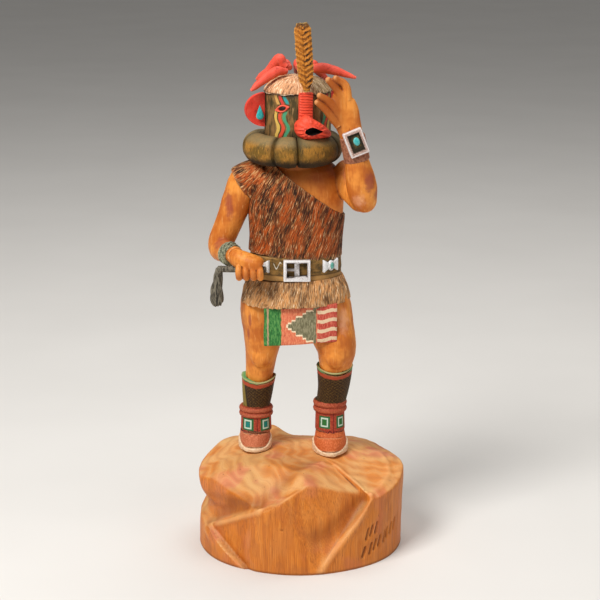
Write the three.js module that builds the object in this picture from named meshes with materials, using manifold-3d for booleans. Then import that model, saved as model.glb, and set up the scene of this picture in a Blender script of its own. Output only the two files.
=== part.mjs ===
// Carved chilli-runner figure standing on a rock of the same wood.
// Millimetres, +Z up. The figure faces -Y and its own right hand is on the -X side.
// The origin is the centre of the rock's flat underside.

import * as THREE from 'three';
import { mergeVertices } from 'three/addons/utils/BufferGeometryUtils.js';
import Module from 'manifold-3d';

const wasm = await Module();
wasm.setup();

// ---------------------------------------------------------------- driving dimensions

const GAP = 0.3; // clear space kept between pieces that touch
const SOLE_Z = 46; // height of the rock under the feet

const ROCK = { halfWidth: 48.8, halfDepth: 46.2, columns: 48, rows: 12, softness: 1.1 };
const TRUNK = { x: -1.6, chestZ: 168, neckZ: 190 };
const NECKLINE = { slope: 36.8, through: new THREE.Vector3(-6.8, 0, 181.6) };
const ARMHOLE = { normal: [-0.827, 0, -0.562], through: [-28.3, 0, 176.5] };
const BELT = { low: 132, high: 143.2, halfWidth: 21.6, halfDepth: 15.2 };
const SKIRT = { low: 120.8, high: 132.2, halfWidth: 25.9, halfDepth: 20 };
const APRON = { left: -16.7, right: 17.2, top: 121.8, bottom: 102.6, thickness: 4, y: -15.5, wrap: 1.3 };
const HEAD = { x: -1.1, y: 0, turn: 14, radius: 15.3, depthScale: 1.05, low: 188, high: 225.4 };
const RUFF = {
  x: -3.4, y: -1, z: 192.8, ring: 16.7, tube: 6.3, steps: 48, groove: 1.1,
  bindings: [-180, -135, -90, -30, 0, 60, 120],
};
const EAR = { radius: 7.7, reach: 9, z: 210.5, thickness: 3 };
const DROP = { width: 3.6, height: 6.6, thickness: 1.1, z: 209.2 };
const FEATHER = {
  x: 3.1, y: -17.8, low: 220.6, high: 251.2, lean: 3.2, halfWidth: 3.9, halfThickness: 1.3, notches: 11,
};
const CHILLI_START = 5.3; // from the middle of the crown
const WHIP = { gripLow: -37.5, gripHigh: -15.6, gripZ: 139.4, gripRadius: 1.5 };
const FUR = { sides: 26, locks: 13, lockDepth: 0.45 };

// ---------------------------------------------------------------- colours

const WOOD = { color: 0xc07a3c, roughness: 0.6, metalness: 0 };
const SKIN = { color: 0xc9772f, roughness: 0.55, metalness: 0 };
const RED = { color: 0xc8443a, roughness: 0.55, metalness: 0 };
const TURQUOISE = { color: 0x2f9a9a, roughness: 0.35, metalness: 0 };
const OCHRE = { color: 0xa9752c, roughness: 0.7, metalness: 0 };
const SOOT = { color: 0x45413a, roughness: 0.8, metalness: 0 };

// ---------------------------------------------------------------- small helpers

const radians = THREE.MathUtils.degToRad;
const FRONT = new THREE.Vector3(0, -1, 0);
const UP = new THREE.Vector3(0, 0, 1);

/** Signed volume of an indexed closed geometry: negative when its faces point inwards. */
function signedVolume(geometry) {
  const place = geometry.getAttribute('position');
  const index = geometry.getIndex();
  const [a, b, c] = [new THREE.Vector3(), new THREE.Vector3(), new THREE.Vector3()];
  let volume = 0;
  for (let i = 0; i < index.count; i += 3) {
    a.fromBufferAttribute(place, index.getX(i));
    b.fromBufferAttribute(place, index.getX(i + 1));
    c.fromBufferAttribute(place, index.getX(i + 2));
    volume += a.dot(b.cross(c)) / 6;
  }
  return volume;
}

/** Turns a closed three.js geometry into a solid that can be joined and cut. */
function solid(source) {
  const bare = source.clone();
  bare.deleteAttribute('normal');
  bare.deleteAttribute('uv');
  const merged = mergeVertices(bare, 1e-4);
  const triangles = Uint32Array.from(merged.getIndex().array);
  if (signedVolume(merged) < 0) {
    for (let i = 0; i < triangles.length; i += 3) {
      [triangles[i + 1], triangles[i + 2]] = [triangles[i + 2], triangles[i + 1]];
    }
  }
  const vertProperties = Float32Array.from(merged.getAttribute('position').array);
  return new wasm.Manifold(new wasm.Mesh({ numProp: 3, vertProperties, triVerts: triangles }));
}

/** Joins any number of solids into one. */
function joined(...solids) {
  return solids.reduce((whole, next) => whole.add(next));
}

/** Fills the pockets that joined surfaces have closed off, by keeping the outermost shell. */
function filled(body) {
  const shells = body.decompose();
  return shells.reduce((most, shell) => (shell.volume() > most.volume() ? shell : most));
}

/** Gives a solid back as a three.js geometry. */
function geometryOf(body) {
  const mesh = body.getMesh();
  const geometry = new THREE.BufferGeometry();
  geometry.setAttribute('position', new THREE.BufferAttribute(mesh.vertProperties, 3));
  geometry.setIndex(new THREE.BufferAttribute(mesh.triVerts, 1));
  geometry.computeVertexNormals();
  return geometry;
}

/** Makes the named mesh of one piece. */
function piece(name, body, finish) {
  const mesh = new THREE.Mesh(geometryOf(body), new THREE.MeshStandardMaterial(finish));
  mesh.name = name;
  return mesh;
}

/**
 * A round body that follows a path. Each station is [x, y, z, half width, half depth]; the
 * width lies across the path and the depth towards its front. With locks, the surface is
 * combed into that many slanting locks of the given depth.
 */
function limb(stations, { sides = 8, steps = 5, front = FRONT, locks = 0, lockDepth = 0 } = {}) {
  const smooth = (points) => new THREE.CatmullRomCurve3(points, false, 'catmullrom');
  const path = smooth(stations.map(([x, y, z]) => new THREE.Vector3(x, y, z)));
  const girth = smooth(stations.map(([, , , a, b]) => new THREE.Vector3(a, b, 0)));
  const geometry = new THREE.CylinderGeometry(1, 1, 1, sides, steps);
  const place = geometry.getAttribute('position');
  for (let i = 0; i < place.count; i += 1) {
    const t = THREE.MathUtils.clamp(place.getY(i) + 0.5, 0, 1);
    const around = Math.atan2(place.getZ(i), place.getX(i));
    const lock = lockDepth * Math.cos(locks * (around + 0.5 * t));
    const along = path.getTangent(t);
    const across = new THREE.Vector3().crossVectors(front, along).normalize();
    const forward = new THREE.Vector3().crossVectors(along, across);
    const half = girth.getPoint(t);
    const point = path.getPoint(t);
    point.addScaledVector(across, place.getX(i) * (half.x + lock));
    point.addScaledVector(forward, place.getZ(i) * (half.y + lock));
    place.setXYZ(i, point.x, point.y, point.z);
  }
  return solid(geometry);
}

/** An egg-shaped body with half sizes along X, Y and Z. */
function egg(center, half, segments = 12) {
  const geometry = new THREE.SphereGeometry(1, segments, Math.round(segments * 0.7));
  geometry.scale(...half);
  geometry.translate(...center);
  return solid(geometry);
}

/** A box given by its lowest and highest corners. */
function block(low, high) {
  const size = high.map((value, axis) => value - low[axis]);
  const geometry = new THREE.BoxGeometry(...size);
  geometry.translate(...low.map((value, axis) => value + size[axis] / 2));
  return solid(geometry);
}

/** A body turned about the vertical: the profile holds [radius, height] pairs. */
function turned(profile, segments = 18) {
  const geometry = new THREE.LatheGeometry(profile.map(([r, z]) => new THREE.Vector2(r, z)), segments);
  geometry.rotateX(Math.PI / 2);
  return solid(geometry);
}

/** A flat plate in the X-Z plane, its outline pushed back along +Y by its thickness. */
function plate(outline, thickness, curveSegments = 8) {
  const shape = new THREE.Shape(outline.map(([x, z]) => new THREE.Vector2(x, z)));
  const geometry = new THREE.ExtrudeGeometry(shape, {
    depth: thickness, bevelEnabled: false, curveSegments,
  });
  geometry.rotateX(Math.PI / 2);
  geometry.translate(0, thickness, 0);
  return solid(geometry);
}

/** Puts a solid made round the vertical through 0,0 where the turned head stands. */
function onHead(body) {
  return body.rotate([0, 0, HEAD.turn]).translate([HEAD.x, HEAD.y, 0]);
}

// ---------------------------------------------------------------- the rock

const softMax = (a, b, k) => {
  const h = Math.max(k - Math.abs(a - b), 0) / k;
  return Math.max(a, b) + h * h * k * 0.25;
};

const softMin = (a, b, k) => -softMax(-a, -b, k);

const bump = (value, middle, width) => Math.exp(-(((value - middle) / width) ** 2));

/** The corners between which the rock's carved facets are stretched. */
const CORNER = {
  ledgeRight: new THREE.Vector3(-41.6, -23.3, 15.5),
  ledgeLeft: new THREE.Vector3(-18.2, -42.3, 28.8),
  ledgeInner: new THREE.Vector3(-28, -29, 24),
  ridgeFoot: new THREE.Vector3(-15, -43.4, 32.2),
  ridgeLow: new THREE.Vector3(-4.7, -43.3, 39.3),
  ridgeMiddle: new THREE.Vector3(0.7, -37, 44),
  ridgeTop: new THREE.Vector3(12.5, -15, 45.4),
  ridgeInner: new THREE.Vector3(-4.5, -27, 37),
  slopeFoot: new THREE.Vector3(-18.2, -41, 29.5),
  slopeMiddle: new THREE.Vector3(0.7, -35.5, 42.8),
  slopeHead: new THREE.Vector3(-20, -20, 44.2),
  facetMiddle: new THREE.Vector3(15.5, -36, 38),
  crestTop: new THREE.Vector3(33, -33.4, 33.2),
  crestFoot: new THREE.Vector3(10.2, -44.7, 2.9),
  valley: new THREE.Vector3(26.8, -32.2, 27.6),
  bandTop: new THREE.Vector3(-44, -17.5, 15),
  bandFoot: new THREE.Vector3(-28.5, -35.8, 2.5),
  bandInner: new THREE.Vector3(-22, -18, 7),
  sideTop: new THREE.Vector3(-42.6, -17.2, 14.4),
  sideFoot: new THREE.Vector3(-27, -35.4, 2),
  shoulderRight: new THREE.Vector3(-48.5, -4, 36.5),
  shoulderFront: new THREE.Vector3(-27, -38, 39),
  footRight: new THREE.Vector3(-22, -12, 45.8),
  heelRight: new THREE.Vector3(-31, 12, 45.6),
  rimBackRight: new THREE.Vector3(-37, 30, 41.5),
  footLeft: new THREE.Vector3(25, -6, 45.8),
  rimLeft: new THREE.Vector3(48, 0, 39.4),
  heelLeft: new THREE.Vector3(27, 12, 45.2),
  rimBackLeft: new THREE.Vector3(38, 28, 38.6),
  backMiddle: new THREE.Vector3(-5, 18, 45.6),
  backLeft: new THREE.Vector3(25, 18, 45.4),
  rimBack: new THREE.Vector3(8, 45, 37.4),
};

/** The plane through three corners, as a function that is positive outside the rock. */
function facet(a, b, c, outward) {
  const plane = new THREE.Plane().setFromCoplanarPoints(a, b, c);
  if (plane.normal.dot(outward) < 0) plane.negate();
  return (p) => plane.distanceToPoint(p);
}

const TO_FRONT = new THREE.Vector3(0, -1, 0);
const TO_TOP = new THREE.Vector3(0, 0, 1);
const frontFacets = [
  facet(CORNER.ridgeMiddle, CORNER.ridgeTop, CORNER.facetMiddle, TO_TOP),
  facet(CORNER.ridgeLow, CORNER.crestFoot, CORNER.valley, TO_FRONT),
  facet(CORNER.ledgeLeft, CORNER.sideTop, CORNER.sideFoot, TO_FRONT),
];
const frontLimits = [
  facet(CORNER.crestTop, CORNER.crestFoot, CORNER.valley, new THREE.Vector3(-1, 0, 0)),
  facet(CORNER.crestTop, CORNER.ridgeTop, CORNER.ridgeTop.clone().setZ(0), new THREE.Vector3(-1, -1, 0)),
  facet(CORNER.bandTop, CORNER.bandFoot, CORNER.bandInner, new THREE.Vector3(1, 0, 1)),
];
const topFacets = [
  facet(CORNER.footRight, CORNER.shoulderFront, CORNER.shoulderRight, TO_TOP),
  facet(CORNER.footLeft, CORNER.rimLeft, CORNER.crestTop, TO_TOP),
  facet(CORNER.heelRight, CORNER.rimBackRight, CORNER.shoulderRight, TO_TOP),
  facet(CORNER.heelLeft, CORNER.rimLeft, CORNER.rimBackLeft, TO_TOP),
  facet(CORNER.backMiddle, CORNER.backLeft, CORNER.rimBack, TO_TOP),
];
const ledgeFloor = facet(CORNER.ledgeLeft, CORNER.ledgeRight, CORNER.ledgeInner, TO_TOP);
const slope = facet(CORNER.slopeFoot, CORNER.slopeMiddle, CORNER.slopeHead, TO_TOP);
const ridgeBack = facet(CORNER.ridgeFoot, CORNER.ridgeTop, CORNER.ridgeInner, new THREE.Vector3(-1, 0, 1));

/** How far a point lies outside the rock, in millimetres; negative inside. */
function outsideRock(p) {
  const k = ROCK.softness;
  const around = Math.atan2(p.y / ROCK.halfDepth, p.x / ROCK.halfWidth);
  const reach = Math.hypot(p.x / ROCK.halfWidth, p.y / ROCK.halfDepth);
  const ripple = 0.006 * Math.sin(3 * around + 0.6) + 0.004 * Math.sin(7 * around + p.z * 0.05);
  const swell = 0.012 * bump(p.z, 35, 9) - 0.02 * bump(p.z, 22, 9) * bump(p.x, -48, 26);
  const wall = (reach - 1 - ripple - swell) * ROCK.halfDepth;
  const mound = 5.6 * bump(p.x, -14, 6.5) * bump(p.y, 34, 9);
  const hollow = 0.9 * bump(p.x, -1, 6) * bump(p.y, -6, 14);
  const crown = topFacets.reduce((most, face) => softMax(most, face(p), 4 * k), p.z - SOLE_Z + hollow) - mound;
  const aboveLip = ledgeFloor(p);
  const dent = 5.2 * bump(aboveLip, 2.5, 6.5) * bump(p.x, -34, 17);
  const undercut = softMin(aboveLip, wall + dent, k);
  const behindRidge = softMin(slope(p), ridgeBack(p), k);
  const cut = frontFacets.reduce((most, face) => softMax(most, face(p), 2 * k), -1e3);
  const front = frontLimits.reduce((least, face) => softMin(least, face(p), k), cut);
  return [crown, undercut, behindRidge, front].reduce((most, value) => softMax(most, value, k), wall);
}

/** The point where a ray from the centre of the underside leaves the rock. */
function rockPoint(around, up) {
  const flat = Math.cos(up);
  const direction = new THREE.Vector3(flat * Math.cos(around), flat * Math.sin(around), Math.sin(up));
  let low = 0;
  let high = 80;
  for (let round = 0; round < 30; round += 1) {
    const middle = (low + high) / 2;
    if (outsideRock(direction.clone().multiplyScalar(middle)) < 0) low = middle;
    else high = middle;
  }
  return direction.multiplyScalar(low);
}

/** The rock: a half globe whose points are moved out to the carved surface, shut flat below. */
function rock() {
  const dome = new THREE.SphereGeometry(1, ROCK.columns, ROCK.rows, 0, Math.PI * 2, 0, Math.PI / 2);
  dome.rotateX(Math.PI / 2);
  const floor = new THREE.CircleGeometry(1, ROCK.columns);
  const flip = new THREE.Matrix4().makeScale(1, -1, 1);
  floor.applyMatrix4(flip);
  const parts = [dome, floor].map((geometry) => {
    const place = geometry.getAttribute('position');
    for (let i = 0; i < place.count; i += 1) {
      const point = new THREE.Vector3().fromBufferAttribute(place, i);
      if (point.length() < 1e-6) continue;
      const up = Math.asin(THREE.MathUtils.clamp(point.z / point.length(), 0, 1));
      const moved = rockPoint(Math.atan2(point.y, point.x), up);
      place.setXYZ(i, moved.x, moved.y, up < 1e-6 ? 0 : moved.z);
    }
    return geometry;
  });
  const points = [];
  for (const geometry of parts) {
    const place = geometry.getAttribute('position');
    const order = geometry.getIndex();
    for (let i = 0; i < order.count; i += 1) {
      const at = order.getX(i);
      points.push(place.getX(at), place.getY(at), place.getZ(at));
    }
  }
  const shell = new THREE.BufferGeometry();
  shell.setAttribute('position', new THREE.Float32BufferAttribute(points, 3));
  return solid(shell);
}

// ---------------------------------------------------------------- legs and boots

/** One leg: x, y and z are its boot's centre line at sole, ankle and knee. */
const RIGHT_LEG = {
  thigh: [
    [-11.5, 0.5, 130, 11, 11.5], [-15.4, 1, 118, 12.7, 12.6], [-17, 1.5, 106, 10.3, 10.8],
    [-18, 2, 96, 8.1, 9], [-18.8, 3, 88, 7, 7.7], [-20, 4, 76, 6.2, 6.4],
  ],
  shaft: [
    [-20.9, 5, 61, 6.3, 6.7], [-20.8, 4.8, 67, 6.5, 6.9], [-20.4, 4, 73, 7.2, 7.4],
    [-20, 3.2, 78, 7.7, 7.9], [-19.7, 3, 80.8, 8.1, 8.3],
  ],
  foot: { x: -21.6, y: 4.4, halfWidth: 8.1, halfLength: 12.1, point: 0.05 },
  ankle: { x: -21.1, y: 5, low: 54.5, middle: 61.6, high: 66.6, halfWidth: 7.2, halfDepth: 7.1 },
};
const LEFT_LEG = {
  thigh: [
    [8.6, 0, 130, 10.6, 11.5], [11.4, -1, 119, 12.2, 12.6], [14.4, -3.4, 108, 11.1, 11],
    [17, -6.4, 98.5, 9.4, 10.3], [16.8, -5.6, 91, 8, 8.3], [16.2, -4.4, 80, 6.2, 6.4],
  ],
  shaft: [
    [14.4, -0.6, 63, 6.4, 6.8], [14.9, -1.4, 71, 6.9, 7], [15.9, -2.8, 78, 7.4, 7.6],
    [16.3, -4, 84, 8.1, 8.5], [16.4, -4.6, 88, 8.5, 9.2],
  ],
  foot: { x: 14.4, y: -1.4, halfWidth: 8.6, halfLength: 12.9, point: 0.32 },
  ankle: { x: 14.3, y: -0.6, low: 56.5, middle: 65.6, high: 71.4, halfWidth: 6.9, halfDepth: 7 },
};

/** A flat slab with the outline of a moccasin's sole, grown by a margin. */
function soleSlab({ x, y, halfWidth, halfLength, point }, low, high, margin, sides = 16) {
  const outline = [];
  for (let i = 0; i < sides; i += 1) {
    const around = (i / sides) * Math.PI * 2;
    const lengthwise = -Math.sin(around);
    const pinch = lengthwise < 0 ? 1 - point * lengthwise * lengthwise : 1;
    outline.push([
      x + (halfWidth + margin) * Math.cos(around) * pinch,
      -(y + (halfLength + margin) * lengthwise),
    ]);
  }
  const shape = new THREE.Shape(outline.map(([u, v]) => new THREE.Vector2(u, -v)));
  const geometry = new THREE.ExtrudeGeometry(shape, { depth: high - low, bevelEnabled: false });
  geometry.translate(0, 0, low);
  return solid(geometry);
}

/** Thigh, boot shaft, rolled collar, anklet, moccasin and sole of one leg. */
function leg({ thigh, shaft, foot, ankle }) {
  const roll = (ankle.high - ankle.middle) / 2;
  const rings = [0, 1].map((turn) => {
    const low = ankle.middle + turn * roll;
    const half = (grow) => [ankle.halfWidth + grow, ankle.halfDepth + grow];
    return limb([
      [ankle.x, ankle.y, low, ...half(-0.2)], [ankle.x, ankle.y, low + roll / 2, ...half(0.9)],
      [ankle.x, ankle.y, low + roll, ...half(-0.2)],
    ], { sides: 12, steps: 2 });
  });
  const anklet = limb([
    [ankle.x, ankle.y, ankle.low, ankle.halfWidth + 0.2, ankle.halfDepth + 0.3],
    [ankle.x, ankle.y, ankle.middle + 0.1, ankle.halfWidth, ankle.halfDepth],
  ], { sides: 10, steps: 1 });
  const moccasin = limb([
    [foot.x, foot.y, SOLE_Z + 1.4, foot.halfWidth - 0.9, foot.halfLength - 0.9],
    [foot.x, foot.y + 0.4, SOLE_Z + 4, foot.halfWidth - 1, foot.halfLength - 1.8],
    [foot.x, foot.y + 1.4, SOLE_Z + 7.4, ankle.halfWidth - 0.3, foot.halfLength - 4.4],
    [ankle.x, ankle.y, ankle.low + 1.5, ankle.halfWidth - 0.4, ankle.halfDepth],
  ], { sides: 10, steps: 3 }).intersect(soleSlab(foot, SOLE_Z, ankle.middle, -0.5));
  const sole = soleSlab(foot, SOLE_Z + GAP, SOLE_Z + GAP + 1.8, 0);
  return joined(limb(thigh, { sides: 10 }), limb(shaft, { sides: 10, steps: 3 }), ...rings, anklet, moccasin, sole);
}

// ---------------------------------------------------------------- trunk and clothes

/** The bare trunk from the hips to the neck. */
function trunk() {
  return limb([
    [TRUNK.x - 0.5, 0, 124, 19.5, 13.6], [TRUNK.x - 0.4, 0, 140, 20.2, 13.9],
    [TRUNK.x, 0, 155, 21.2, 14.2], [TRUNK.x, 0, TRUNK.chestZ, 22, 14.6],
    [TRUNK.x, 0.6, 178, 21.6, 13.6], [TRUNK.x - 0.6, 1, 185, 15, 10.8],
    [TRUNK.x - 1, 1, TRUNK.neckZ, 9, 9],
  ], { sides: 14, steps: 6 });
}

/** The one-shouldered fur tunic with its cap sleeve, cut along the slanting neckline. */
function tunic() {
  const coat = limb([
    [TRUNK.x - 0.7, 0, 142.6, 21.9, 15.2], [TRUNK.x - 0.2, 0, 150, 21.7, 15.1],
    [TRUNK.x, 0, 160, 22.3, 15.4], [TRUNK.x, 0, 170, 22.8, 15.7],
    [TRUNK.x, 0.6, 179, 22.6, 14.7], [TRUNK.x - 0.8, 1, 186.5, 15.5, 11.6],
  ], { ...FUR, steps: 5 });
  const sleeve = limb([
    [-16, 0.5, 179.4, 8.5, 10], [-23.4, 0.3, 177, 8.9, 9.4], [-28.8, 0, 174.4, 8.1, 8.6],
    [-30.4, 0, 173.4, 7.8, 8.1],
  ], { sides: 12, steps: 4 });
  const out = new THREE.Vector3(...ARMHOLE.normal);
  const cap = sleeve.trimByPlane(out.clone().negate().toArray(), -out.dot(new THREE.Vector3(...ARMHOLE.through)));
  const slope = radians(NECKLINE.slope);
  const keep = new THREE.BoxGeometry(160, 80, 120);
  keep.translate(0, 0, -60);
  keep.rotateY(slope);
  keep.translate(NECKLINE.through.x, 0, NECKLINE.through.z);
  const below = solid(keep);
  return joined(coat, cap).intersect(below);
}

/** The leather belt with its square buckle and the butterfly conchos either side. */
function belt() {
  const strap = limb([
    [TRUNK.x - 0.5, 0, BELT.low, BELT.halfWidth, BELT.halfDepth],
    [TRUNK.x - 0.5, 0, BELT.high, BELT.halfWidth - 0.4, BELT.halfDepth],
  ], { sides: 20, steps: 1 });
  const buckle = block([-7.9, -16.4, 132.2], [5.1, -14, 142.8]);
  const windows = [[-6, -2.4], [0, 3.2]].map(([low, high]) => (
    block([low, -17, 134.8], [high, -15.6, 141.2])
  ));
  const wings = (x, turn) => {
    const wing = plate([
      [-4.6, -3.2], [-1.4, -1.5], [1.4, -1.5], [4.6, -3.2], [4.6, 3.2], [1.4, 1.5], [-1.4, 1.5], [-4.6, 3.2],
    ], 1.6);
    const stone = egg([0, 0.2, 0], [2.1, 0.9, 2.6], 6);
    const across = (x - TRUNK.x + 0.5) / BELT.halfWidth;
    const y = -BELT.halfDepth * Math.sqrt(1 - across * across) - 0.9;
    return wing.add(stone).rotate([0, 0, turn]).translate([x, y, 139]);
  };
  const frame = windows.reduce((whole, window) => whole.subtract(window), buckle);
  return joined(strap, frame, wings(14.4, 38), wings(-18, -38));
}

/** The fur flap below the belt, a little lower on the right hip. */
function skirt() {
  return limb([
    [TRUNK.x - 0.6, 0, SKIRT.low, SKIRT.halfWidth - 0.2, SKIRT.halfDepth],
    [TRUNK.x - 0.6, 0, (SKIRT.low + SKIRT.high) / 2, SKIRT.halfWidth - 1.4, SKIRT.halfDepth - 1.8],
    [TRUNK.x - 0.6, 0, SKIRT.high, SKIRT.halfWidth - 3.6, SKIRT.halfDepth - 4.2],
  ], { ...FUR, steps: 2 }).rotate([0, -2.2, 0]).translate([4.8, 0, 0]);
}

/** The painted front apron and the plain back flap, both rounded across the body. */
function flap(y, left, right, bottom) {
  const geometry = new THREE.BoxGeometry(right - left, APRON.thickness, APRON.top - bottom, 8, 1, 1);
  geometry.translate((left + right) / 2, y, (APRON.top + bottom) / 2);
  const place = geometry.getAttribute('position');
  for (let i = 0; i < place.count; i += 1) {
    const across = (place.getX(i) - TRUNK.x) / 18;
    const slant = 0.055 * (place.getX(i) - TRUNK.x) * (place.getZ(i) < bottom + 1 ? 1 : 0);
    place.setY(i, place.getY(i) - Math.sign(y) * APRON.wrap * across * across);
    place.setZ(i, place.getZ(i) + slant);
  }
  return solid(geometry);
}

// ---------------------------------------------------------------- arms and hands

/** The right arm hangs, bent at the elbow, with the fist before the belt. */
function rightArm() {
  const upper = limb([
    [-19, 0.5, 180, 6.4, 6.6], [-24.6, 0.3, 176.6, 8, 8], [-28.8, 0.8, 168, 7.2, 7.4],
    [-32.6, 1.4, 158, 6.4, 6.9], [-36.8, 2, 147.6, 6, 6.2], [-38, 2.4, 142.6, 5, 4.8],
  ], { steps: 6 });
  const fore = limb([
    [-38.2, 4.6, 143.4, 4.2, 4.4], [-37.4, 1, 144.2, 5.3, 5.7], [-34.8, -6, 144.8, 5, 5.3],
    [-32, -12.6, 145.2, 4.3, 4.3], [-29.4, -17, 145.2, 4.1, 3.9],
  ], { front: UP });
  const cord = limb([[-32.9, -10.9, 145, 5, 5], [-30.9, -14.8, 145.2, 4.9, 4.9]], {
    steps: 1, front: UP,
  });
  const palm = limb([
    [-30.6, -15.6, 145.4, 3.6, 3.8], [-27.4, -18.6, 145, 4.4, 4.4], [-22.4, -20.6, 144, 4.9, 4],
    [-18.4, -21.2, 142.6, 4.2, 3], [-17.4, -21.4, 142.2, 3, 2],
  ], { steps: 5, front: UP });
  const fingers = [-28, -24.8, -21.4, -18.3].map((x, i) => limb([
    [x, -21.2 - 0.4 * i, 144.6 - 0.5 * i, 1.5, 1.5], [x, -23.6 - 0.2 * i, 142.4 - 0.3 * i, 1.9, 1.9],
    [x, -23.2 - 0.2 * i, 138.8, 1.8, 1.8], [x, -21.2, 137.4, 1.3, 1.3],
  ], { sides: 6, steps: 3, front: new THREE.Vector3(1, 0, 0) }));
  return joined(upper, fore, cord, palm, ...fingers);
}

/** The left arm is raised, its hand shading the eye, with a bow guard on the wrist. */
function leftArm() {
  const upper = limb([
    [17, 1, 180, 6.6, 7], [21.4, -1.6, 178, 7.4, 7.6], [25.4, -7, 173.4, 7, 7],
    [28.8, -12.4, 170, 6.2, 6.4], [30, -14.6, 168.6, 4.6, 4.6],
  ], { steps: 6, front: UP });
  const fore = limb([
    [30.2, -13.6, 166.6, 3.6, 3.8], [29.6, -14.8, 169.6, 5.6, 5.4], [28.2, -16, 176, 7, 6.2],
    [26.8, -17.4, 184, 6.4, 5.6], [25.2, -18.6, 192, 5.1, 4.6], [24, -19.2, 199, 5, 4],
  ], { steps: 6 });
  const guard = limb([[25.8, -18.2, 189.6, 5.9, 5.2], [23.4, -19.4, 201, 5.8, 4.8]], { sides: 10, steps: 1 });
  const frame = block([-4.4, -1, -5.3], [4.4, 1.6, 5.3]).subtract(block([-2.8, -2, -3.7], [2.8, -0.4, 3.7]));
  const stone = egg([0.4, -0.3, 0], [1.8, 0.7, 2.4], 6);
  const plaque = frame.add(stone).rotate([0, -21, 8]).translate([25, -23.2, 198.8]);
  const palm = limb([
    [23.9, -19.4, 198, 4.8, 3.6], [22.2, -19.8, 204.4, 5.6, 3.2], [19.8, -20.4, 212, 6.6, 2.8],
    [19.2, -20.8, 218.4, 5, 2.3], [20.2, -21, 221.4, 2.6, 1.7],
  ], { steps: 6 });
  const fingers = [
    [[22.2, 219.4], [20.2, 224], [15.8, 227]],
    [[18.6, 216.6], [16.6, 222], [12.7, 226.4]],
    [[16.6, 211.8], [14, 216.6], [9.2, 219.7]],
    [[15.2, 208], [12.6, 212.8], [7.6, 217.6]],
  ].map((knots) => limb(
    knots.map(([x, z], i) => [x, -20.9 - 0.5 * i, z, [2.1, 1.9, 1.5][i], [2.1, 1.9, 1.5][i]]),
    { sides: 6, steps: 3 },
  ));
  return joined(upper, fore, guard, plaque, palm, ...fingers);
}

// ---------------------------------------------------------------- head

/** The case mask with its fringe, nose, crooked snout and ringed eyes. */
function mask() {
  const r = HEAD.radius;
  const shell = turned([
    [0, HEAD.low], [r - 0.4, HEAD.low], [r, 207], [r - 0.2, 218.4], [r - 2, 221.2],
    [r - 5.4, 223.6], [r - 9.8, 225], [0, HEAD.high],
  ]).scale([1, HEAD.depthScale, 1]);
  const fringe = turned([
    [0, 218.7], [r + 0.5, 218.7], [r - 1.2, 221.6], [r - 4.8, 224.2], [r - 9.6, 225.5], [0, HEAD.high + 0.4],
  ]).scale([1, HEAD.depthScale, 1]).intersect(block([-18, -19, 217], [18, 5, 231]));
  const face = -r * HEAD.depthScale;
  const nose = block([-3.9, face - 2.4, 206.6], [2.9, face + 3, 219.6]);
  const lips = limb([
    [-3.6, face + 0.6, 203.6, 2.2, 2.6], [-1.8, face - 2, 203.8, 4.4, 3.4], [2.4, face - 2.6, 203.6, 4.5, 3.4],
    [7.2, face - 1, 202, 2.9, 3], [10.6, face + 1.6, 200.6, 1.3, 2],
  ], { steps: 5 });
  const mouth = limb([
    [-1.8, face - 4.6, 203.5, 1.7, 3], [1.2, face - 5, 203.6, 1.9, 3], [6, face - 4, 202.8, 0.6, 2],
  ], { sides: 6, steps: 2 });
  const eyes = [-40, 40].map((turn) => {
    const ring = new THREE.TorusGeometry(2, 0.75, 4, 9);
    ring.scale(1.45, 0.8, 1);
    ring.rotateX(Math.PI / 2);
    ring.rotateY(radians(turn < 0 ? -14 : 14));
    ring.translate(0, -r - 0.1, 212.4);
    ring.rotateZ(radians(turn));
    return solid(ring);
  });
  return onHead(joined(shell, fringe, nose, lips).subtract(mouth).add(joined(...eyes)));
}

/** The fat ruff round the neck, bound into lobes. */
function ruff() {
  const geometry = new THREE.TorusGeometry(RUFF.ring, RUFF.tube, 6, RUFF.steps);
    const place = geometry.getAttribute('position');
  for (let i = 0; i < place.count; i += 1) {
    const [x, y, z] = [place.getX(i), place.getY(i), place.getZ(i)];
    const around = Math.atan2(x, -y);
    const nearest = Math.min(...RUFF.bindings.map((at) => Math.acos(Math.cos(around - radians(at)))));
    const pinch = RUFF.groove * bump(nearest, 0, radians(4));
    const outward = (Math.hypot(x, y) - RUFF.ring) / RUFF.tube;
    const radius = Math.hypot(x, y) - pinch * outward;
    place.setXYZ(i, radius * Math.sin(around), -radius * Math.cos(around), z * (1.08 - pinch * 0.06));
  }
  geometry.rotateZ(radians(7));
  geometry.translate(RUFF.x, RUFF.y, RUFF.z);
  return solid(geometry);
}

/** The one carved figure, all its limbs and clothes in one piece of wood. */
function figure() {
  const neck = limb([[-1.5, 0, 184, 12, 11], [-1.3, 0, 200, 13, 12]], { steps: 1 });
  return joined(
    trunk(), neck, tunic(), belt(), skirt(), leg(RIGHT_LEG), leg(LEFT_LEG),
    flap(APRON.y, APRON.left, APRON.right, APRON.bottom), flap(-APRON.y + 0.4, -15, 12, APRON.bottom),
    rightArm(), leftArm(), ruff(), mask(),
  );
}

// ---------------------------------------------------------------- pieces of their own

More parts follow.
